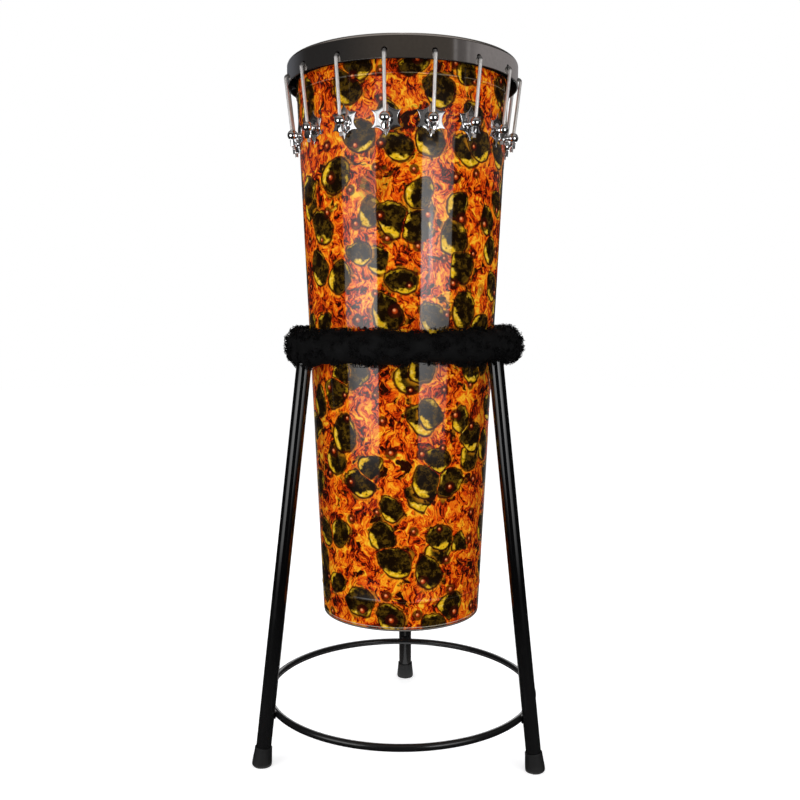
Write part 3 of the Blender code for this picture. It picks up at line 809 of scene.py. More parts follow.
def unroll(shell):
    """Gives the shell a UV map in metres: the cone rolled out flat from a seam at the back."""
    sheet = shell.data.uv_layers.new(name=WRAP_SHEET)
    pitch = math.atan(SHELL_SLOPE)
    for face in shell.data.polygons:
        middle = (math.atan2(face.center.y, face.center.x) - SEAM_ANGLE) % math.tau
        for loop in face.loop_indices:
            spot = shell.data.vertices[shell.data.loops[loop].vertex_index].co
            turn = (math.atan2(spot.y, spot.x) - SEAM_ANGLE) % math.tau
            turn += math.tau * round((middle - turn) / math.tau)
            slant = shell_radius(spot.z) / math.sin(pitch)
            fan = (turn - math.pi) * math.sin(pitch)
            sheet.data[loop].uv = (slant * math.sin(fan), slant * math.cos(fan))


def make_shell(wrap, wood, lip):
    """The cone with its bearing edge, two beads and bare lower lip."""
    edge_centre = (SHELL_TOP_R - EDGE_R, SHELL_HIGH - EDGE_R)
    outline = arc(edge_centre, EDGE_R, 90, 0, 7)
    outline += bead_outline(SHELL_HIGH - BEAD_DROP)
    for step in range(1, 12):
        z = SHELL_HIGH - BEAD_DROP - (SHELL_HIGH - SHELL_LOW - BEAD_DROP - BEAD_RISE) * step / 12
        outline.append((shell_radius(z), z))
    outline += bead_outline(SHELL_LOW + BEAD_RISE, 0.0076, 0.0008)
    lip_z = SHELL_LOW + 0.0030
    bottom_r = SHELL_BOTTOM_R - 0.0005
    outline += [(shell_radius(lip_z), lip_z + 0.0003), (shell_radius(lip_z) - 0.0003, lip_z)]
    outline += [(shell_radius(lip_z) - 0.0005, lip_z)]
    outline += arc((bottom_r - 0.0006, SHELL_LOW + 0.0006), 0.0006, 0, -90, 4)
    outline += arc((SHELL_BOTTOM_R - SHELL_WALL + 0.0006, SHELL_LOW + 0.0006), 0.0006, -90, -180, 4)
    inner_top = SHELL_TOP_R - SHELL_WALL
    for step in range(1, 8):
        z = SHELL_LOW + (SHELL_HIGH - SHELL_LOW - EDGE_R) * step / 8
        outline.append((shell_radius(z) - SHELL_WALL, z))
    outline.append((inner_top, SHELL_HIGH - (edge_centre[0] - inner_top)))
    shell = spun("wrapped_shell", outline, 192)
    for material in (wrap, wood, lip):
        shell.data.materials.append(material)
    for face in shell.data.polygons:
        outside = math.hypot(face.center.x, face.center.y) > shell_radius(face.center.z) - 0.0004
        face.material_index = 0 if outside else 1
        if face.center.z < lip_z + 0.0001:
            face.material_index = 2
        elif face.center.z > SHELL_HIGH - EDGE_R:
            face.material_index = 1
    unroll(shell)
    smooth(shell, 32.0)
    finish_piece(shell, None, "drum", ["shell"])


def make_head(film, rim):
    """Film over the bearing edge, its collar and the flesh hoop."""
    edge_centre = (SHELL_TOP_R - EDGE_R, SHELL_HIGH - EDGE_R)
    film_in = EDGE_R + 0.0003
    film_out = film_in + 0.0006
    hoop_in = SHELL_TOP_R + 0.0020
    hoop_out = hoop_in + 0.0050
    hoop_top = HOOP_HIGH - HOOP_WALL - 0.0003
    hoop_low = hoop_top - 0.0100
    outline = [(0.0, edge_centre[1] + film_out)]
    outline += [(edge_centre[0] * share, edge_centre[1] + film_out) for share in (0.3, 0.6, 0.85)]
    outline += arc(edge_centre, film_out, 90, 0, 7)
    shelf = hoop_low + 0.0033
    ring = [(hoop_in, shelf), (hoop_in, hoop_top), (hoop_out, hoop_top), (hoop_out, hoop_low)]
    outline += rounded(
        [(edge_centre[0] + film_out, shelf), *ring, (edge_centre[0] + film_in, hoop_low)], 0.0016)
    outline += arc(edge_centre, film_in, 0, 90, 7)
    outline += [(edge_centre[0] * share, edge_centre[1] + film_in) for share in (0.85, 0.6, 0.3)]
    outline.append((0.0, edge_centre[1] + film_in))
    head = spun("coated_head", outline, 160, closed=False)
    for material in (film, rim):
        head.data.materials.append(material)
    # Faces outside the bearing edge, the film's collar and the flesh hoop, take the dark steel material: painted
    # shade under the hoop, on the film as well as the steel.
    for face in head.data.polygons:
        face.material_index = int(math.hypot(face.center.x, face.center.y) > SHELL_TOP_R + 0.0008)
    smooth(head, 40.0)
    finish_piece(head, None, "hoop", ["drumhead"])


def make_hoop(dark_chrome, rim):
    """The rolled band: a fold over the flesh hoop, a rolled lower edge and sixteen holes."""
    fold_r = 0.0060
    hold = 0.0004
    bend = (HOOP_R - fold_r, HOOP_HIGH - fold_r)
    fold_in = HOOP_R - 0.0115
    edge = HOOP_WALL / 2
    outline = [(fold_in + edge, HOOP_HIGH)]
    outline += arc(bend, fold_r, 88, 0, 12)
    trim = 0.0004
    outline += [(HOOP_R, bend[1] - hold), (HOOP_R, HOOP_LOW + trim + hold)]
    outline += arc((HOOP_R - trim, HOOP_LOW + trim), trim, 0, -90, 5)
    outline += arc((HOOP_R - HOOP_WALL + trim, HOOP_LOW + trim), trim, -90, -180, 5)
    outline += [(HOOP_R - HOOP_WALL, HOOP_LOW + trim + hold), (HOOP_R - HOOP_WALL, bend[1] - hold)]
    outline += arc(bend, fold_r - HOOP_WALL, 0, 90, 9)
    outline += arc((fold_in + edge, HOOP_HIGH - edge), edge, -90, -225, 6)
    hoop = spun("rolled_hoop", outline, 240)
    holes = []
    for index, angle in enumerate(LUG_ANGLES):
        hole = cursor_primitive(
            bpy.ops.mesh.primitive_cylinder_add, f"hole_{index}", vertices=28, radius=0.0044,
            depth=0.008, rotation=(0, math.pi / 2, angle),
            location=(HOOP_R * math.cos(angle), HOOP_R * math.sin(angle), HOOK_Z + 0.0007))
        apply_place(hole)
        holes.append(hole)
    cut(hoop, joined("holes", holes))
    hoop.data.materials.clear()
    for material in (dark_chrome, rim):
        hoop.data.materials.append(material)
    # The band's inner side and lower edge take the dark steel material: partly raw steel, partly painted shade.
    for face in hoop.data.polygons:
        outward = Vector((face.center.x, face.center.y, 0.0)).normalized().dot(face.normal)
        face.material_index = int(face.normal.z < -0.15 or outward < -0.3)
    smooth(hoop, 40.0)
    finish_piece(hoop, None, "hoop", ["counter_hoop"])


def star_reach(angle):
    """Distance of the star's edge from its middle, in the direction of this angle from a tip."""
    points, tip, waist = 6, 0.0276, 0.0176
    half = math.pi / points
    swing = (angle + half) % (2 * half) - half
    away = half - abs(swing)
    along = tip * math.cos(half)
    side = tip * math.sin(half)
    centre = (along**2 + side**2 - waist**2) / (2 * (along - waist))
    radius = centre - waist
    middle = centre * math.cos(away)
    reach = middle - math.sqrt(max(radius**2 - centre**2 + middle**2, 0.0))
    return min(reach, tip - 0.0006)


def bend_to_shell(mesh):
    """Moves a flat star, drawn in Y and Z round the X axis, on to the cone at +X."""
    for corner in mesh.vertices:
        lift, across, up = corner.co
        z = LUG_Z + up
        radius = shell_radius(z)
        angle = across / radius
        reach = radius + 0.0003 + lift
        corner.co = (reach * math.cos(angle), reach * math.sin(angle), z)


def make_star_plate():
    """The star: a disc drawn out to six tips, with a rounded rim and a low boss in its middle."""
    rim = [(1.0, 0.0), (1.0, 0.0008), (0.988, 0.0012), (0.968, 0.0014), (0.955, 0.00148), (0.935, 0.0015)]
    crown = [(0.0122, 0.0015), (0.0110, 0.0015), (0.0097, 0.0017), (0.0084, 0.0021)]
    obj = cursor_primitive(
        bpy.ops.mesh.primitive_circle_add, "star_plate", vertices=144, radius=1.0,
        fill_type="NGON", rotation=(0, math.pi / 2, 0))
    apply_place(obj)
    edit(obj)
    for _ in (*rim[1:], *crown):
        bpy.ops.mesh.extrude_region_move(TRANSFORM_OT_translate={"value": (1.0, 0, 0)})
    leave_edit()
    for corner in obj.data.vertices:
        layer = int(round(corner.co.x))
        angle = math.atan2(corner.co.y, corner.co.z)
        if layer < len(rim):
            share, lift = rim[layer]
            reach = share * star_reach(angle)
        else:
            reach, lift = crown[layer - len(rim)]
        corner.co = (lift, reach * math.sin(angle), reach * math.cos(angle))
    bend_to_shell(obj.data)
    edit(obj)
    bpy.ops.mesh.normals_make_consistent(inside=False)
    leave_edit()
    return obj


def radial_place(z):
    """Stands a spun shape's axis along +X at height z."""
    return Matrix.Translation((0, 0, z)) @ Matrix.Rotation(math.pi / 2, 4, "Y")


def rod_place():
    """Stands a shape's Z axis on the rod's, with its origin at the ball's middle."""
    return Matrix.Translation((BALL_CENTRE_R, 0, LUG_Z)) @ Matrix.Rotation(ROD_TILT, 4, "Y")


def make_lug(chrome):
    """One lug at +X: star, turned neck and ball with the rod's bore, and the screw inside."""
    plate_r = shell_radius(LUG_Z) + 0.0003
    ball_r = 0.0086
    neck_r = 0.0042
    wall_in = shell_radius(LUG_Z - 0.007) - SHELL_WALL - 0.0005
    neck_start = BALL_CENTRE_R - math.sqrt(ball_r**2 - neck_r**2)
    tilt = math.degrees(math.acos(neck_r / ball_r))
    outline = arc((0.0, BALL_CENTRE_R), ball_r, 90, -tilt, 22)
    outline += rounded(
        [(neck_r, neck_start - 0.0001), (neck_r + 0.0004, plate_r + 0.0026), (0.0078, plate_r + 0.0016)],
        0.002, 6)
    outline += [(0.0078, plate_r + 0.0008), (0.0025, plate_r + 0.0008), (0.0025, wall_in)]
    outline += rounded(
        [(0.0070, wall_in), (0.0070, wall_in - 0.0012), (0.0050, wall_in - 0.0014)], 0.0004, 3)
    outline += arc((0.0, wall_in - 0.0014), 0.0046, 0, -40, 4)[1:]
    outline.append((0.0, wall_in - 0.0034))
    outline[0] = (0.0, BALL_CENTRE_R + ball_r)
    post = spun("post", outline, 40, closed=False)
    post.data.transform(radial_place(LUG_Z))
    lug = make_star_plate()
    cut(lug, post, "UNION")
    bore = cursor_primitive(
        bpy.ops.mesh.primitive_cylinder_add, "bore", vertices=32, radius=0.0034, depth=0.05)
    bore.data.transform(rod_place())
    cut(lug, bore)
    seat = cursor_primitive(
        bpy.ops.mesh.primitive_cylinder_add, "seat", vertices=32, radius=0.0072, depth=0.01,
        location=(0, 0, -BALL_SEAT - 0.005))
    apply_place(seat)
    seat.data.transform(rod_place())
    cut(lug, seat)
    smooth(lug, 38.0)
    lug.data.materials.clear()
    lug.data.materials.append(chrome)
    return lug


def make_nut(chrome):
    """One hexagon nut in the rod's frame, chamfered at both ends."""
    top = -BALL_SEAT - 0.0003
    low = top - NUT_HEIGHT
    nut = cursor_primitive(
        bpy.ops.mesh.primitive_cylinder_add, "nut", vertices=6, radius=0.0059,
        depth=NUT_HEIGHT, location=(0, 0, (top + low) / 2))
    apply_place(nut)
    outline = [(0.0, top), (0.0048, top)]
    outline += rounded([(0.0048, top), (0.0060, top - 0.0010), (0.0060, low + 0.0012), (0.0046, low)], 0.0008, 3)
    outline += [(0.0, low)]
    blank = spun("blank", outline, 48, closed=False)
    cut(nut, blank, "INTERSECT")
    bore = spun("nut_bore", [
        (0.0, top + 0.004), (0.0034, top + 0.004), (0.0034, low + 0.0006), (0.0040, low),
        (0.0040, low - 0.004), (0.0, low - 0.004)], 32, closed=False)
    cut(nut, bore)
    bevel = nut.modifiers.new("Edges", "BEVEL")
    bevel.width = 0.0002
    bevel.segments = 2
    bevel.limit_method = "ANGLE"
    bevel.angle_limit = math.radians(50)
    select_only(nut)
    bpy.ops.object.modifier_apply(modifier=bevel.name)
    smooth(nut, 30.0)
    nut.data.materials.clear()
    nut.data.materials.append(chrome)
    return nut


def rod_route():
    """The rod's centreline in its own frame: straight up, then bent into the hoop's hole."""
    bend_r = 0.0045
    corner = (HOOK_Z - LUG_Z) / math.cos(ROD_TILT)
    turn = math.pi / 2 + ROD_TILT
    tangent = bend_r * math.tan(turn / 2)
    low = -BALL_SEAT - 0.0003 - NUT_HEIGHT - ROD_TIP
    route = [Vector((0, 0, low)), Vector((0, 0, low + 0.0008)), Vector((0, 0, 0))]
    for step in range(13):
        swing = turn * step / 12
        inwards = bend_r * (math.cos(swing) - 1)
        route.append(Vector((inwards, 0, corner - tangent + bend_r * math.sin(swing))))
    inward = Vector((-math.cos(ROD_TILT), 0, -math.sin(ROD_TILT)))
    hole_out = BALL_CENTRE_R + (HOOK_Z - LUG_Z) * math.tan(ROD_TILT)
    reach = hole_out - (HOOP_R - HOOP_WALL - 0.0060)
    route.append(Vector((0, 0, corner)) + inward * (reach - 0.0006))
    route.append(Vector((0, 0, corner)) + inward * reach)
    return route


def make_rod(steel):
    """One hooked rod in its own frame, with rounded ends."""
    curve = bpy.data.curves.new("rod", "CURVE")
    curve.dimensions = "3D"
    curve.bevel_depth = ROD_R
    curve.bevel_resolution = 7
    curve.use_fill_caps = True
    route = rod_route()
    spline = curve.splines.new("POLY")
    spline.points.add(len(route) - 1)
    for index, (point, spot) in enumerate(zip(spline.points, route)):
        point.co = (*spot, 1.0)
        point.radius = 0.72 if index in (0, len(route) - 1) else 1.0
    obj = bpy.data.objects.new("rod", curve)
    bpy.context.scene.collection.objects.link(obj)
    select_only(obj)
    bpy.ops.object.convert(target="MESH")
    rod = bpy.context.object
    edit(rod)
    bpy.ops.mesh.remove_doubles(threshold=0.000002)
    bpy.ops.mesh.normals_make_consistent(inside=False)
    leave_edit()
    smooth(rod, 38.0)
    rod.data.materials.clear()
    rod.data.materials.append(steel)
    return rod


def leg_place(angle):
    """Origin where a leg's centreline meets the floor, Z up along the leg, X outwards."""
    foot = Matrix.Translation((FOOT_CIRCLE_R, 0, 0))
    return Matrix.Rotation(angle, 4, "Z") @ foot @ Matrix.Rotation(-LEG_TILT, 4, "Y")


def ring_tube(name, radius, z, tube_r, steps=192, sides=28):
    obj = cursor_primitive(
        bpy.ops.mesh.primitive_torus_add, name, major_segments=steps, minor_segments=sides,
        major_radius=radius, minor_radius=tube_r, location=(0, 0, z))
    apply_place(obj)
    return obj


def make_stand(enamel):
    """Collar ring, three leg tubes, the floor ring and the welds that hold it."""
    collar = ring_tube("top_ring", COLLAR_R, COLLAR_Z, COLLAR_TUBE_R)
    smooth(collar)
    finish_piece(collar, enamel, "stand", ["collar_ring"])
    wall = 0.0015
    start, end = 0.0065, LEG_RUN - 0.0020
    outline = [(LEG_R, end), (LEG_R, end / 2), (LEG_R, start), (LEG_R - wall, start), (LEG_R - wall, end)]
    for side, angle in LEG_ANGLES.items():
        leg = spun(f"leg_tube_{side}", outline, 48)
        leg.data.transform(leg_place(angle))
        cut(leg, ring_tube("saddle", COLLAR_R, COLLAR_Z, COLLAR_TUBE_R + 0.0003, 144, 24))
        smooth(leg)
        finish_piece(leg, enamel, "stand", [f"leg_{side}"])
    tube_r = (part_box("floor_ring")[1].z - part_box("floor_ring")[0].z) / 2
    ring = ring_tube("lower_ring", FLOOR_RING_R, FLOOR_RING_Z, tube_r)
    for side, angle in LEG_ANGLES.items():
        way = cursor_primitive(
            bpy.ops.mesh.primitive_cylinder_add, "way", vertices=48, radius=LEG_R + 0.0003,
            depth=0.2, location=(0, 0, FLOOR_RING_Z))
        apply_place(way)
        way.data.transform(leg_place(angle))
        cut(ring, way)
    smooth(ring)
    finish_piece(ring, enamel, "stand", ["floor_ring"])
    make_welds(enamel, tube_r)


def make_welds(enamel, tube_r):
    """A ripple of weld above and below the ring where each leg crosses it."""
    for side, angle in LEG_ANGLES.items():
        beads = []
        for level in (-1, 1):
            for step in range(-3, 4):
                bead = cursor_primitive(
                    bpy.ops.mesh.primitive_uv_sphere_add, "bead", segments=14, ring_count=9,
                    radius=0.0021)
                z = FLOOR_RING_Z + level * tube_r * 0.80
                swing = step * 0.0021 / LEG_R
                axis_r = FOOT_CIRCLE_R - z * math.tan(LEG_TILT)
                reach = LEG_R + 0.0006
                spot = (axis_r - reach * math.cos(swing), reach * math.sin(swing), z)
                bead.data.transform(Matrix.Diagonal((1.0, 1.15, 0.75, 1.0)))
                bead.data.transform(Matrix.Rotation(angle, 4, "Z") @ Matrix.Translation(spot))
                beads.append(bead)
        weld = beads[0]
        for bead in beads[1:]:
            cut(weld, bead, "UNION")
        weld.name = f"ring_weld_{side}"
        smooth(weld, 60.0)
        finish_piece(weld, enamel, "stand")


def make_feet(rubber):
    """Rubber tips pushed on to the tubes, cut level where they stand."""
    bore = LEG_R + 0.0003
    low = -0.0022
    flare = bore + 0.0036
    outline = [(0.0, 0.0062), (bore, 0.0062)]
    outline += [(bore, 0.0310 - 0.0004)]
    outline += arc((bore + 0.0008, 0.0310 - 0.0008), 0.0008, 180, 0, 7)
    for step in range(1, 9):
        share = step / 9
        swell = share * share * (3 - 2 * share)
        outline.append((bore + 0.0016 + 0.0020 * swell, 0.0302 - (0.0302 - low - 0.005) * share))
    outline += arc((flare - 0.0050, low + 0.0050), 0.0050, 0, -90, 9)
    outline.append((0.0, low))
    for side, angle in LEG_ANGLES.items():
        foot = spun(f"foot_tip_{side}", outline, 64, closed=False)
        foot.data.transform(leg_place(angle))
        edit(foot)
        bpy.ops.mesh.bisect(plane_co=(0, 0, 0), plane_no=(0, 0, 1), use_fill=True, clear_inner=True)
        leave_edit()
        smooth(foot, 40.0)
        finish_piece(foot, rubber, "stand", [f"rubber_foot_{side}"])


def near(angle, middle, spread):
    """1 where the angle is the middle one, in degrees, falling to 0 over about twice the spread."""
    away = (math.degrees(angle) - middle + 180.0) % 360.0 - 180.0
    return math.exp(-((away / spread) ** 2))


def pile_radii(angle):
    """The sleeve's reach outwards, up and down: taller at the sides and lumpy all round."""
    here = Vector((math.cos(angle) * 2.2, math.sin(angle) * 2.2, 0.0))
    right = max(0.0, math.cos(angle)) ** 3
    left = max(0.0, -math.cos(angle)) ** 3
    lumps = 0.0244 + 0.0030 * noise.noise(here) + 0.0028 * noise.noise(here * 3.4)
    out = lumps + 0.0035 * right - 0.0045 * left
    up = lumps + 0.0075 * right + 0.0040 * left
    down = lumps + 0.0040 * right + 0.0035 * left
    down += 0.0095 * near(angle, -148.0, 17.0) - 0.0040 * near(angle, -34.0, 9.0)
    return out, up, down


def sleeve_point(angle, swing, swell=0.0):
    """A point on the sleeve: swing is 0 outwards and turns upwards. The drum presses it flat."""
    wide, up, down = pile_radii(angle)
    tall = up if swing % math.tau < math.pi else down
    out = COLLAR_R + (wide + swell) * math.cos(swing)
    z = COLLAR_Z + (tall + swell) * math.sin(swing)
    out = max(out, shell_radius(z) + 0.0006)
    return Vector((out * math.cos(angle), out * math.sin(angle), z))


def make_sleeve(fur):
    """The padded sleeve under the pile: a lumpy tube laced shut below the ring."""
    around, sides = 288, 30
    slit = math.radians(4.0)
    points = []
    for index in range(around):
        angle = math.tau * index / around
        for side in range(sides + 1):
            swing = -math.pi / 2 + slit + (math.tau - 2 * slit) * side / sides
            spot = sleeve_point(angle, swing)
            lump = noise.noise(spot * 90.0) * 0.0012
            points.append(sleeve_point(angle, swing, lump))
        for side in range(13):
            swing = -math.pi / 2 - slit + (2 * slit - math.tau) * side / 12
            inner = COLLAR_TUBE_R + 0.0006
            out = COLLAR_R + inner * math.cos(swing)
            z = COLLAR_Z + inner * math.sin(swing)
            points.append(Vector((out * math.cos(angle), out * math.sin(angle), z)))
    run = sides + 14
    faces = []
    for index in range(around):
        after = (index + 1) % around
        for side in range(run):
            beside = (side + 1) % run
            faces.append((index * run + side, after * run + side, after * run + beside, index * run + beside))
    mesh = bpy.data.meshes.new("fur_sleeve")
    mesh.from_pydata(points, [], faces)
    sleeve = bpy.data.objects.new("fur_sleeve", mesh)
    bpy.context.scene.collection.objects.link(sleeve)
    edit(sleeve)
    bpy.ops.mesh.normals_make_consistent(inside=False)
    leave_edit()
    smooth(sleeve, 60.0)
    finish_piece(sleeve, fur, "stand", ["fur_cover"])


def lock_mesh(points, faces, root, ahead, side, over, draw, length):
    """Adds one curled lock: a thin closed tube of three sides that coils as it leaves the root."""
    rings = 8
    turns = draw.uniform(0.9, 1.6)
    phase = draw.uniform(0.0, math.tau)
    curl = length * draw.uniform(0.16, 0.24)
    first = len(points)
    line = []
    for ring in range(rings):
        share = ring / (rings - 1)
        swing = phase + turns * math.tau * share
        wide = curl * share**0.7
        spot = root + ahead * (length * 0.62 * share * (1.15 - 0.4 * share))
        line.append(spot + side * (wide * math.cos(swing)) + over * (wide * math.sin(swing)))
    for ring, spot in enumerate(line):
        share = ring / (rings - 1)
        thick = 0.00085 * (1.0 - 0.55 * share)
        run = (line[min(ring + 1, rings - 1)] - line[max(ring - 1, 0)]).normalized()
        across = run.cross(over if abs(run.dot(over)) < 0.9 else side).normalized()
        upward = run.cross(across)
        for corner in range(3):
            turn = math.tau * corner / 3
            here = spot + across * (thick * math.cos(turn)) + upward * (thick * math.sin(turn))
            reach = math.hypot(here.x, here.y)
            keep = shell_radius(here.z) + 0.0004
            if reach < keep:
                here = Vector((here.x * keep / reach, here.y * keep / reach, here.z))
            points.append(here)
    for ring in range(rings - 1):
        for corner in range(3):
            beside = (corner + 1) % 3
            low = first + 3 * ring
            faces.append((low + corner, low + 3 + corner, low + 3 + beside, low + beside))
    faces.append((first, first + 1, first + 2))
    last = first + 3 * (rings - 1)
    faces.append((last + 2, last + 1, last))


def make_pile(fur, look):
    """Curled locks in clumps over the sleeve, which give the fur its knobbly outline."""
    draw = random.Random(look.seed)
    points, faces = [], []
    for clump in range(look.clumps):
        angle = math.tau * (clump * 0.6180339887 % 1.0)
        swing = draw.uniform(math.radians(-104.0), math.radians(112.0))
        root = sleeve_point(angle, swing, -0.0015)
        outward = Vector((math.cos(angle) * math.cos(swing), math.sin(angle) * math.cos(swing), math.sin(swing)))
        around = Vector((-math.sin(angle), math.cos(angle), 0.0))
        up = outward.cross(around)
        lean = around * draw.uniform(-0.7, 0.7) + up * draw.uniform(-0.7, 0.7)
        for lock in range(look.locks):
            spread = around * draw.gauss(0.0, 0.0034) + up * draw.gauss(0.0, 0.0034)
            ahead = outward * draw.uniform(0.45, 1.0) + lean * 0.6
            ahead += around * draw.uniform(-0.5, 0.5) + up * draw.uniform(-0.5, 0.5)
            ahead.normalize()
            side = ahead.cross(up if abs(ahead.dot(up)) < 0.9 else around).normalized()
            over = ahead.cross(side)
            length = look.lock_length * draw.uniform(0.65, 1.15)
            lock_mesh(points, faces, root + spread, ahead, side, over, draw, length)
    mesh = bpy.data.meshes.new("fur_pile")
    mesh.from_pydata(points, [], faces)
    pile = bpy.data.objects.new("fur_pile", mesh)
    bpy.context.scene.collection.objects.link(pile)
    smooth(pile, 80.0)
    finish_piece(pile, fur, "stand")


# Studio


DROP_SPACING = 0.054
DROP_GAP = 0.036
FACE_DISTANCE = 1.5
FACE_HEIGHT = 1.30
FACE_STRENGTH = 7.5


def seen_directly(graph):
    """1 for what the camera, a mirror or glass shows of the studio, and 0 for its light."""
    path = graph.add("ShaderNodeLightPath")
    seen = path["Is Camera Ray"] + path["Is Glossy Ray"] + path["Is Transmission Ray"]
    return seen.math("MINIMUM", seen, 1.0)


def stage_material():
    """Pale floor that is white to the camera and keeps a soft shadow."""
    material, graph = new_graph("studio_floor")
    lit = graph.add("ShaderNodeBsdfDiffuse", None, Color=(0.90, 0.90, 0.90))["BSDF"]
    seen = seen_directly(graph) * 0.50
    glow = graph.add("ShaderNodeEmission", None, Color=(1.0, 1.0, 1.0), Strength=seen)["Emission"]
    both = graph.add("ShaderNodeAddShader", None, lit, glow)["Shader"]
    graph.add("ShaderNodeOutputMaterial", None, both)
    return material


def panel_material():
    """Dark studio walls that show only in reflections, with paler sides and ceiling high up."""
    material, graph = new_graph("studio_panel")
    x, y, z = graph.split(graph.place())
    turn = x.math("ARCTAN2", x, 0.0 - y)
    high = z.ramp(1.88, 1.97)
    dim = turn.ramp(0.0, math.radians(-70)) * high
    left = turn.ramp(math.radians(-100), math.radians(-140)) * high
    near = turn.ramp(math.radians(47), math.radians(55)) * high
    right = turn.ramp(math.radians(56), math.radians(84)) * high
    band = z.ramp(1.29, 1.35) * z.ramp(1.64, 1.56)
    shade = graph.mix(band, (0.017, 0.0155, 0.0145), (0.104, 0.099, 0.096))
    beside = turn.ramp(math.radians(-14), math.radians(-17)) * turn.ramp(math.radians(-28), math.radians(-25))
    shade = graph.mix(beside * band, shade, (1.0, 1.0, 1.0))
    shade = graph.mix(high, shade, (0.067, 0.058, 0.050))
    shade = graph.mix(dim, shade, (0.026, 0.025, 0.025))
    shade = graph.mix(left, shade, (0.105, 0.110, 0.124))
    shade = graph.mix(near, shade, (0.105, 0.097, 0.096))
    shade = graph.mix(right, shade, (0.260, 0.245, 0.248))
    for degrees in (52, 66):
        streak = abs(turn - math.radians(degrees)).ramp(math.radians(2.5), math.radians(0.8)) * high
        shade = graph.mix(streak * 0.6, shade, (0.300, 0.290, 0.290))
    back = abs(turn).ramp(math.radians(140), math.radians(160))
    shade = graph.mix(back * z.ramp(1.0, 0.4), shade, (0.180, 0.165, 0.155))
    shade = graph.mix(z.ramp(2.40, 2.55), shade, (0.028, 0.026, 0.025))
    overhead = graph.mix(y.ramp(-0.2, 0.4), (0.285, 0.262, 0.245), (0.090, 0.083, 0.078))
    shade = graph.mix(z.ramp(3.25, 3.45), shade, overhead)
    glow = graph.add("ShaderNodeEmission", None, Color=shade, Strength=1.0)["Emission"]
    graph.add("ShaderNodeOutputMaterial", None, glow)
    return material


def make_world(look):
    world = bpy.data.worlds.new("studio_world")
    bpy.context.scene.world = world
    graph = Graph(world)
    even = graph.add("ShaderNodeBackground", None, (0.97, 0.98, 1.0), look.fill)["Background"]
    white = graph.add("ShaderNodeBackground", None, (1.0, 1.0, 1.0), 1.0)["Background"]
    both = graph.add("ShaderNodeMixShader", None, seen_directly(graph), even, white)["Shader"]
    graph.add("ShaderNodeOutputWorld", None, both)


def face_material(name, stops, turns, levels, glint, notch):
    """A softbox's face as gloss shows it. The stops give its brightness by height, the levels
    give it at two turns off the front, the glint is a short bright line at one more turn, and
    the upper corner is dark as far as the notch's turn."""
    material, graph = new_graph(name)
    x, y, z = graph.split(graph.place())
    turn = x.math("ARCTAN2", x, 0.0 - y)
    stops = [(height / FACE_HEIGHT, (level / FACE_STRENGTH,) * 3) for height, level in stops]
    shade = graph.add("ShaderNodeValToRGB", {"stops": stops}, z / FACE_HEIGHT)["Color"]
    share = turn.ramp(math.radians(turns[0]), math.radians(turns[1]))
    share = levels[0] + (levels[1] - levels[0]) * share
    shade = graph.mix(share, (0.0, 0.0, 0.0), shade)
    if glint:
        line = abs(turn - math.radians(glint)).ramp(math.radians(3.2), math.radians(1.0))
        shade = graph.mix(line * abs(z - 0.855).ramp(0.15, 0.05), shade, (1.0, 1.0, 1.0))
    if notch:
        corner = turn.ramp(math.radians(notch + 1.5), math.radians(notch - 1.5)) * z.ramp(1.12, 1.15)
        shade = graph.mix(corner, shade, (0.0147, 0.0140, 0.0136))
    glow = graph.add("ShaderNodeEmission", None, Color=shade, Strength=FACE_STRENGTH)["Emission"]
    graph.add("ShaderNodeOutputMaterial", None, glow)


def softbox(name, azimuth, distance, width, low, high, radiance, gloss=True):
    """A tall area light that faces the drum from this azimuth off the front."""
    data = bpy.data.lights.new(name, "AREA")
    data.shape = "RECTANGLE"
    data.size = width
    data.size_y = high - low
    data.energy = radiance * math.pi * width * (high - low)
    lamp = bpy.data.objects.new(name, data)
    bpy.context.scene.collection.objects.link(lamp)
    turn = math.radians(azimuth)
    lamp.location = (distance * math.sin(turn), -distance * math.cos(turn), (low + high) / 2)
    lamp.rotation_euler = (math.pi / 2, 0.0, turn)
    lamp.visible_camera = False
    lamp.visible_glossy = gloss


def dark_panel(name, points, faces, material="studio_panel"):
    """A panel that the camera and the light pass through, so that it shows only in gloss."""
    mesh = bpy.data.meshes.new(name)
    mesh.from_pydata(points, [], faces)
    panel = bpy.data.objects.new(name, mesh)
    bpy.context.scene.collection.objects.link(panel)
    mesh.materials.append(bpy.data.materials[material])
    panel.visible_camera = False
    panel.visible_diffuse = False
    panel.visible_shadow = False


def make_panels():
    """Dark walls round the studio but for a gap at the back, with a cloth below and a canopy."""
    panel_material()
    far, high, count, half = 3.4, 3.9, 72, math.radians(170.0)
    turns = [-half + 2 * half * index / count for index in range(count + 1)]
    faces = [(2 * i, 2 * i + 1, 2 * i + 3, 2 * i + 2) for i in range(count)]
    wall, cloth, canopy = [], [], []
    for turn in turns:
        x, y = far * math.sin(turn), -far * math.cos(turn)
        wall += [(x, y, 0.0), (x, y, high)]
        cloth += [(0.0, 0.0, 0.004), (x, y, 0.004)]
        canopy += [(0.0, 0.0, high), (x, y, high)]
    dark_panel("studio_wall", wall, faces)
    dark_panel("studio_cloth", cloth, faces)
    dark_panel("studio_canopy", canopy, faces)


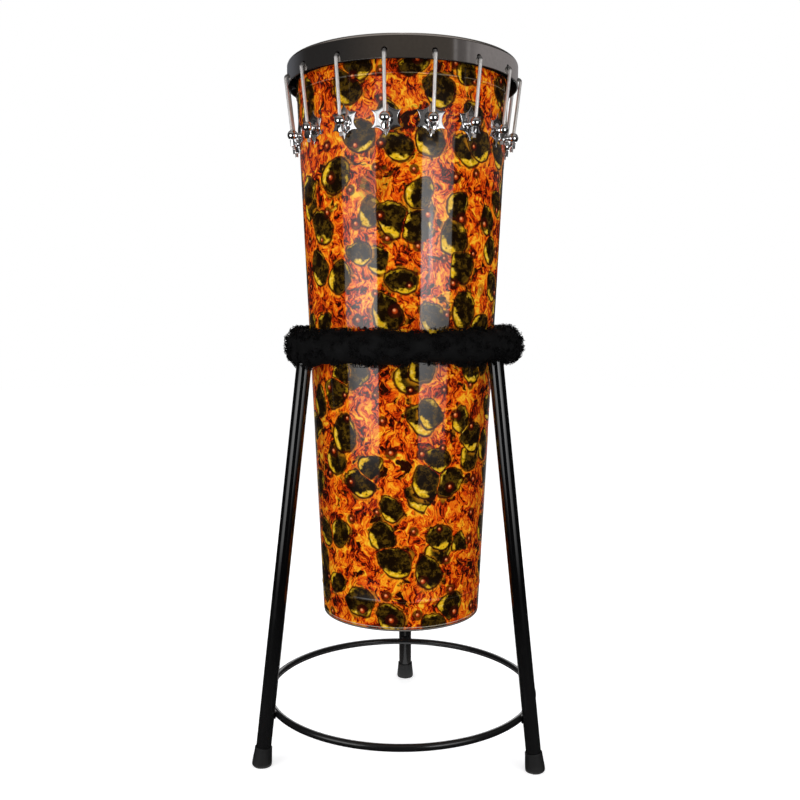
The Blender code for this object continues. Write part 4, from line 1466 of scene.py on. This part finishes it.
def make_faces():
    """The two softboxes' faces, as curved sheets that only gloss shows."""
    left = (
        (0.0, 0.08), (0.10, 0.14), (0.18, 0.60), (0.26, 1.8), (0.37, 2.4), (0.43, 2.6), (0.56, 3.3),
        (0.67, 4.0), (0.77, 3.5), (0.88, 2.5), (0.97, 2.0), (1.05, 1.4), (1.22, 1.25), (1.245, 0.5),
        (1.265, 0.11))
    right = (
        (0.0, 0.06), (0.14, 0.14), (0.20, 0.55), (0.26, 1.3), (0.37, 2.0), (0.43, 2.3), (0.56, 3.3),
        (0.67, 4.5), (0.77, 4.7), (0.88, 4.2), (0.97, 3.8), (1.05, 3.1), (1.13, 2.4), (1.20, 1.5),
        (1.235, 1.2), (1.25, 0.4), (1.265, 0.11))
    face_material("left_face", left, (-63, -46), (0.52, 1.0), None, None)
    face_material("right_face", right, (24, 56), (1.0, 0.46), 32.8, 39.0)
    count = 24
    for name, start, end in (("left_face", -64.4, -25.4), ("right_face", 22.3, 57.0)):
        points = []
        for index in range(count + 1):
            turn = math.radians(start + (end - start) * index / count)
            x, y = FACE_DISTANCE * math.sin(turn), -FACE_DISTANCE * math.cos(turn)
            points += [(x, y, 0.002), (x, y, FACE_HEIGHT)]
        faces = [(2 * i, 2 * i + 1, 2 * i + 3, 2 * i + 2) for i in range(count)]
        dark_panel(name, points, faces, name)


def make_camera(look):
    data = bpy.data.cameras.new("studio_camera")
    data.lens = look.lens
    camera = bpy.data.objects.new("studio_camera", data)
    bpy.context.scene.collection.objects.link(camera)
    camera.location = (
        look.camera_distance * math.sin(look.camera_turn),
        -look.camera_distance * math.cos(look.camera_turn),
        look.camera_height,
    )
    camera.rotation_euler = (
        math.pi / 2 - look.camera_pitch, -look.camera_roll, look.camera_turn + look.camera_pan)
    bpy.context.scene.camera = camera


def make_studio(look):
    bpy.context.scene.view_settings.view_transform = "Standard"
    floor = cursor_primitive(
        bpy.ops.mesh.primitive_circle_add, "studio_floor", vertices=96, radius=9.0,
        fill_type="NGON")
    floor.data.materials.append(stage_material())
    make_world(look)
    make_panels()
    for name, azimuth, width in (("left", -50.0, 1.30), ("right", 47.0, 1.02)):
        softbox(f"{name}_softbox", azimuth, 1.5, width, 0.30, 1.30, look.box_radiance * 0.93, False)
    make_faces()
    softbox("back_softbox", 180.0, 1.9, 1.10, 0.30, 1.30, look.box_radiance * 0.7)
    make_camera(look)


# Operators


class DRUM_OT_shell(bpy.types.Operator):
    """Make the wrapped shell"""

    bl_idname = "drum.shell"
    bl_label = "Shell"

    def execute(self, context):
        looks = context.scene
        wood = wood_material(tuple(looks.drum_soft.wood))
        make_shell(wrap_material(looks.drum_wrap), wood, lip_material())
        return {"FINISHED"}


class DRUM_OT_head(bpy.types.Operator):
    """Make the coated head and its flesh hoop"""

    bl_idname = "drum.head"
    bl_label = "Head"

    def execute(self, context):
        make_head(film_material(tuple(context.scene.drum_soft.film)), dark_steel_and_painted_shade_material())
        return {"FINISHED"}


class DRUM_OT_hoop(bpy.types.Operator):
    """Make the rolled counter hoop"""

    bl_idname = "drum.hoop"
    bl_label = "Counter hoop"

    def execute(self, context):
        chrome = plated_material("dark_chrome_plate", tuple(context.scene.drum_metal.dark_chrome), 0.07)
        make_hoop(chrome, dark_steel_and_painted_shade_material())
        return {"FINISHED"}


class DRUM_OT_hardware(bpy.types.Operator):
    """Make the lugs, nuts and hooked rods"""

    bl_idname = "drum.hardware"
    bl_label = "Lugs, nuts and rods"

    def execute(self, context):
        metal = context.scene.drum_metal
        chrome = plated_material("chrome_plate", tuple(metal.chrome), 0.03)
        steel = plated_material("bright_rod_steel", tuple(metal.steel), 0.22, metal=0.62, thread=True)
        lug = make_lug(chrome)
        nut = make_nut(chrome)
        rod = make_rod(steel)
        for number, angle in zip(SET_NUMBERS, LUG_ANGLES):
            turn = Matrix.Rotation(angle, 4, "Z")
            made = turned_copy(lug, f"star_lug_{number}", turn)
            finish_piece(made, None, "drum", [f"lug_{number}"])
            made = turned_copy(nut, f"hex_nut_{number}", turn @ rod_place())
            finish_piece(made, None, f"nut_{number}", [f"tension_nut_{number}"])
            made = turned_copy(rod, f"hook_rod_{number}", turn @ rod_place())
            finish_piece(made, None, f"rod_{number}", [f"tension_rod_{number}"])
        for first in (lug, nut, rod):
            bpy.data.objects.remove(first, do_unlink=True)
        return {"FINISHED"}


class DRUM_OT_stand(bpy.types.Operator):
    """Make the stand's rings, legs and welds"""

    bl_idname = "drum.stand"
    bl_label = "Stand"

    def execute(self, context):
        make_stand(enamel_material(tuple(context.scene.drum_metal.paint)))
        return {"FINISHED"}


class DRUM_OT_feet(bpy.types.Operator):
    """Make the rubber feet"""

    bl_idname = "drum.feet"
    bl_label = "Rubber feet"

    def execute(self, context):
        make_feet(rubber_material(tuple(context.scene.drum_soft.rubber)))
        return {"FINISHED"}


class DRUM_OT_fur(bpy.types.Operator):
    """Make the padded sleeve and its curled pile"""

    bl_idname = "drum.fur"
    bl_label = "Fur collar"

    def execute(self, context):
        look = context.scene.drum_soft
        make_sleeve(fur_material("fur_backing", tuple(look.fur), 0.5))
        make_pile(fur_material("curled_fur", tuple(look.fur), 0.7), look)
        return {"FINISHED"}


class DRUM_OT_studio(bpy.types.Operator):
    """Make the floor, lights and camera"""

    bl_idname = "drum.studio"
    bl_label = "Studio"

    def execute(self, context):
        make_studio(context.scene.drum_studio)
        return {"FINISHED"}


class DRUM_PT_panel(bpy.types.Panel):
    """Lists the drum's operators in the sidebar"""

    bl_idname = "DRUM_PT_panel"
    bl_label = "Hand Drum"
    bl_space_type = "VIEW_3D"
    bl_region_type = "UI"
    bl_category = "Hand Drum"

    def draw(self, context):
        for operator in OPERATORS:
            self.layout.operator(operator.bl_idname)
        for name in LOOKS:
            group = getattr(context.scene, name)
            box = self.layout.box()
            for key in group.bl_rna.properties.keys():
                if key not in ("rna_type", "name"):
                    box.prop(group, key)


LOOKS = {
    "drum_wrap": WrapLook, "drum_metal": MetalLook, "drum_soft": SoftLook, "drum_studio": StudioLook,
}
OPERATORS = (
    DRUM_OT_studio, DRUM_OT_shell, DRUM_OT_head, DRUM_OT_hoop, DRUM_OT_hardware, DRUM_OT_stand,
    DRUM_OT_feet, DRUM_OT_fur,
)


def register():
    for group in (*LOOKS.values(), *OPERATORS, DRUM_PT_panel):
        bpy.utils.register_class(group)
    for name, group in LOOKS.items():
        setattr(bpy.types.Scene, name, PointerProperty(type=group))


def unregister():
    for name in LOOKS:
        delattr(bpy.types.Scene, name)
    for group in (DRUM_PT_panel, *reversed(OPERATORS), *LOOKS.values()):
        bpy.utils.unregister_class(group)


def main():
    register()
    for operator in OPERATORS:
        getattr(bpy.ops.drum, operator.bl_idname.split(".")[1])()
    bpy.context.view_layer.update()


if __name__ == "__main__":
    main()
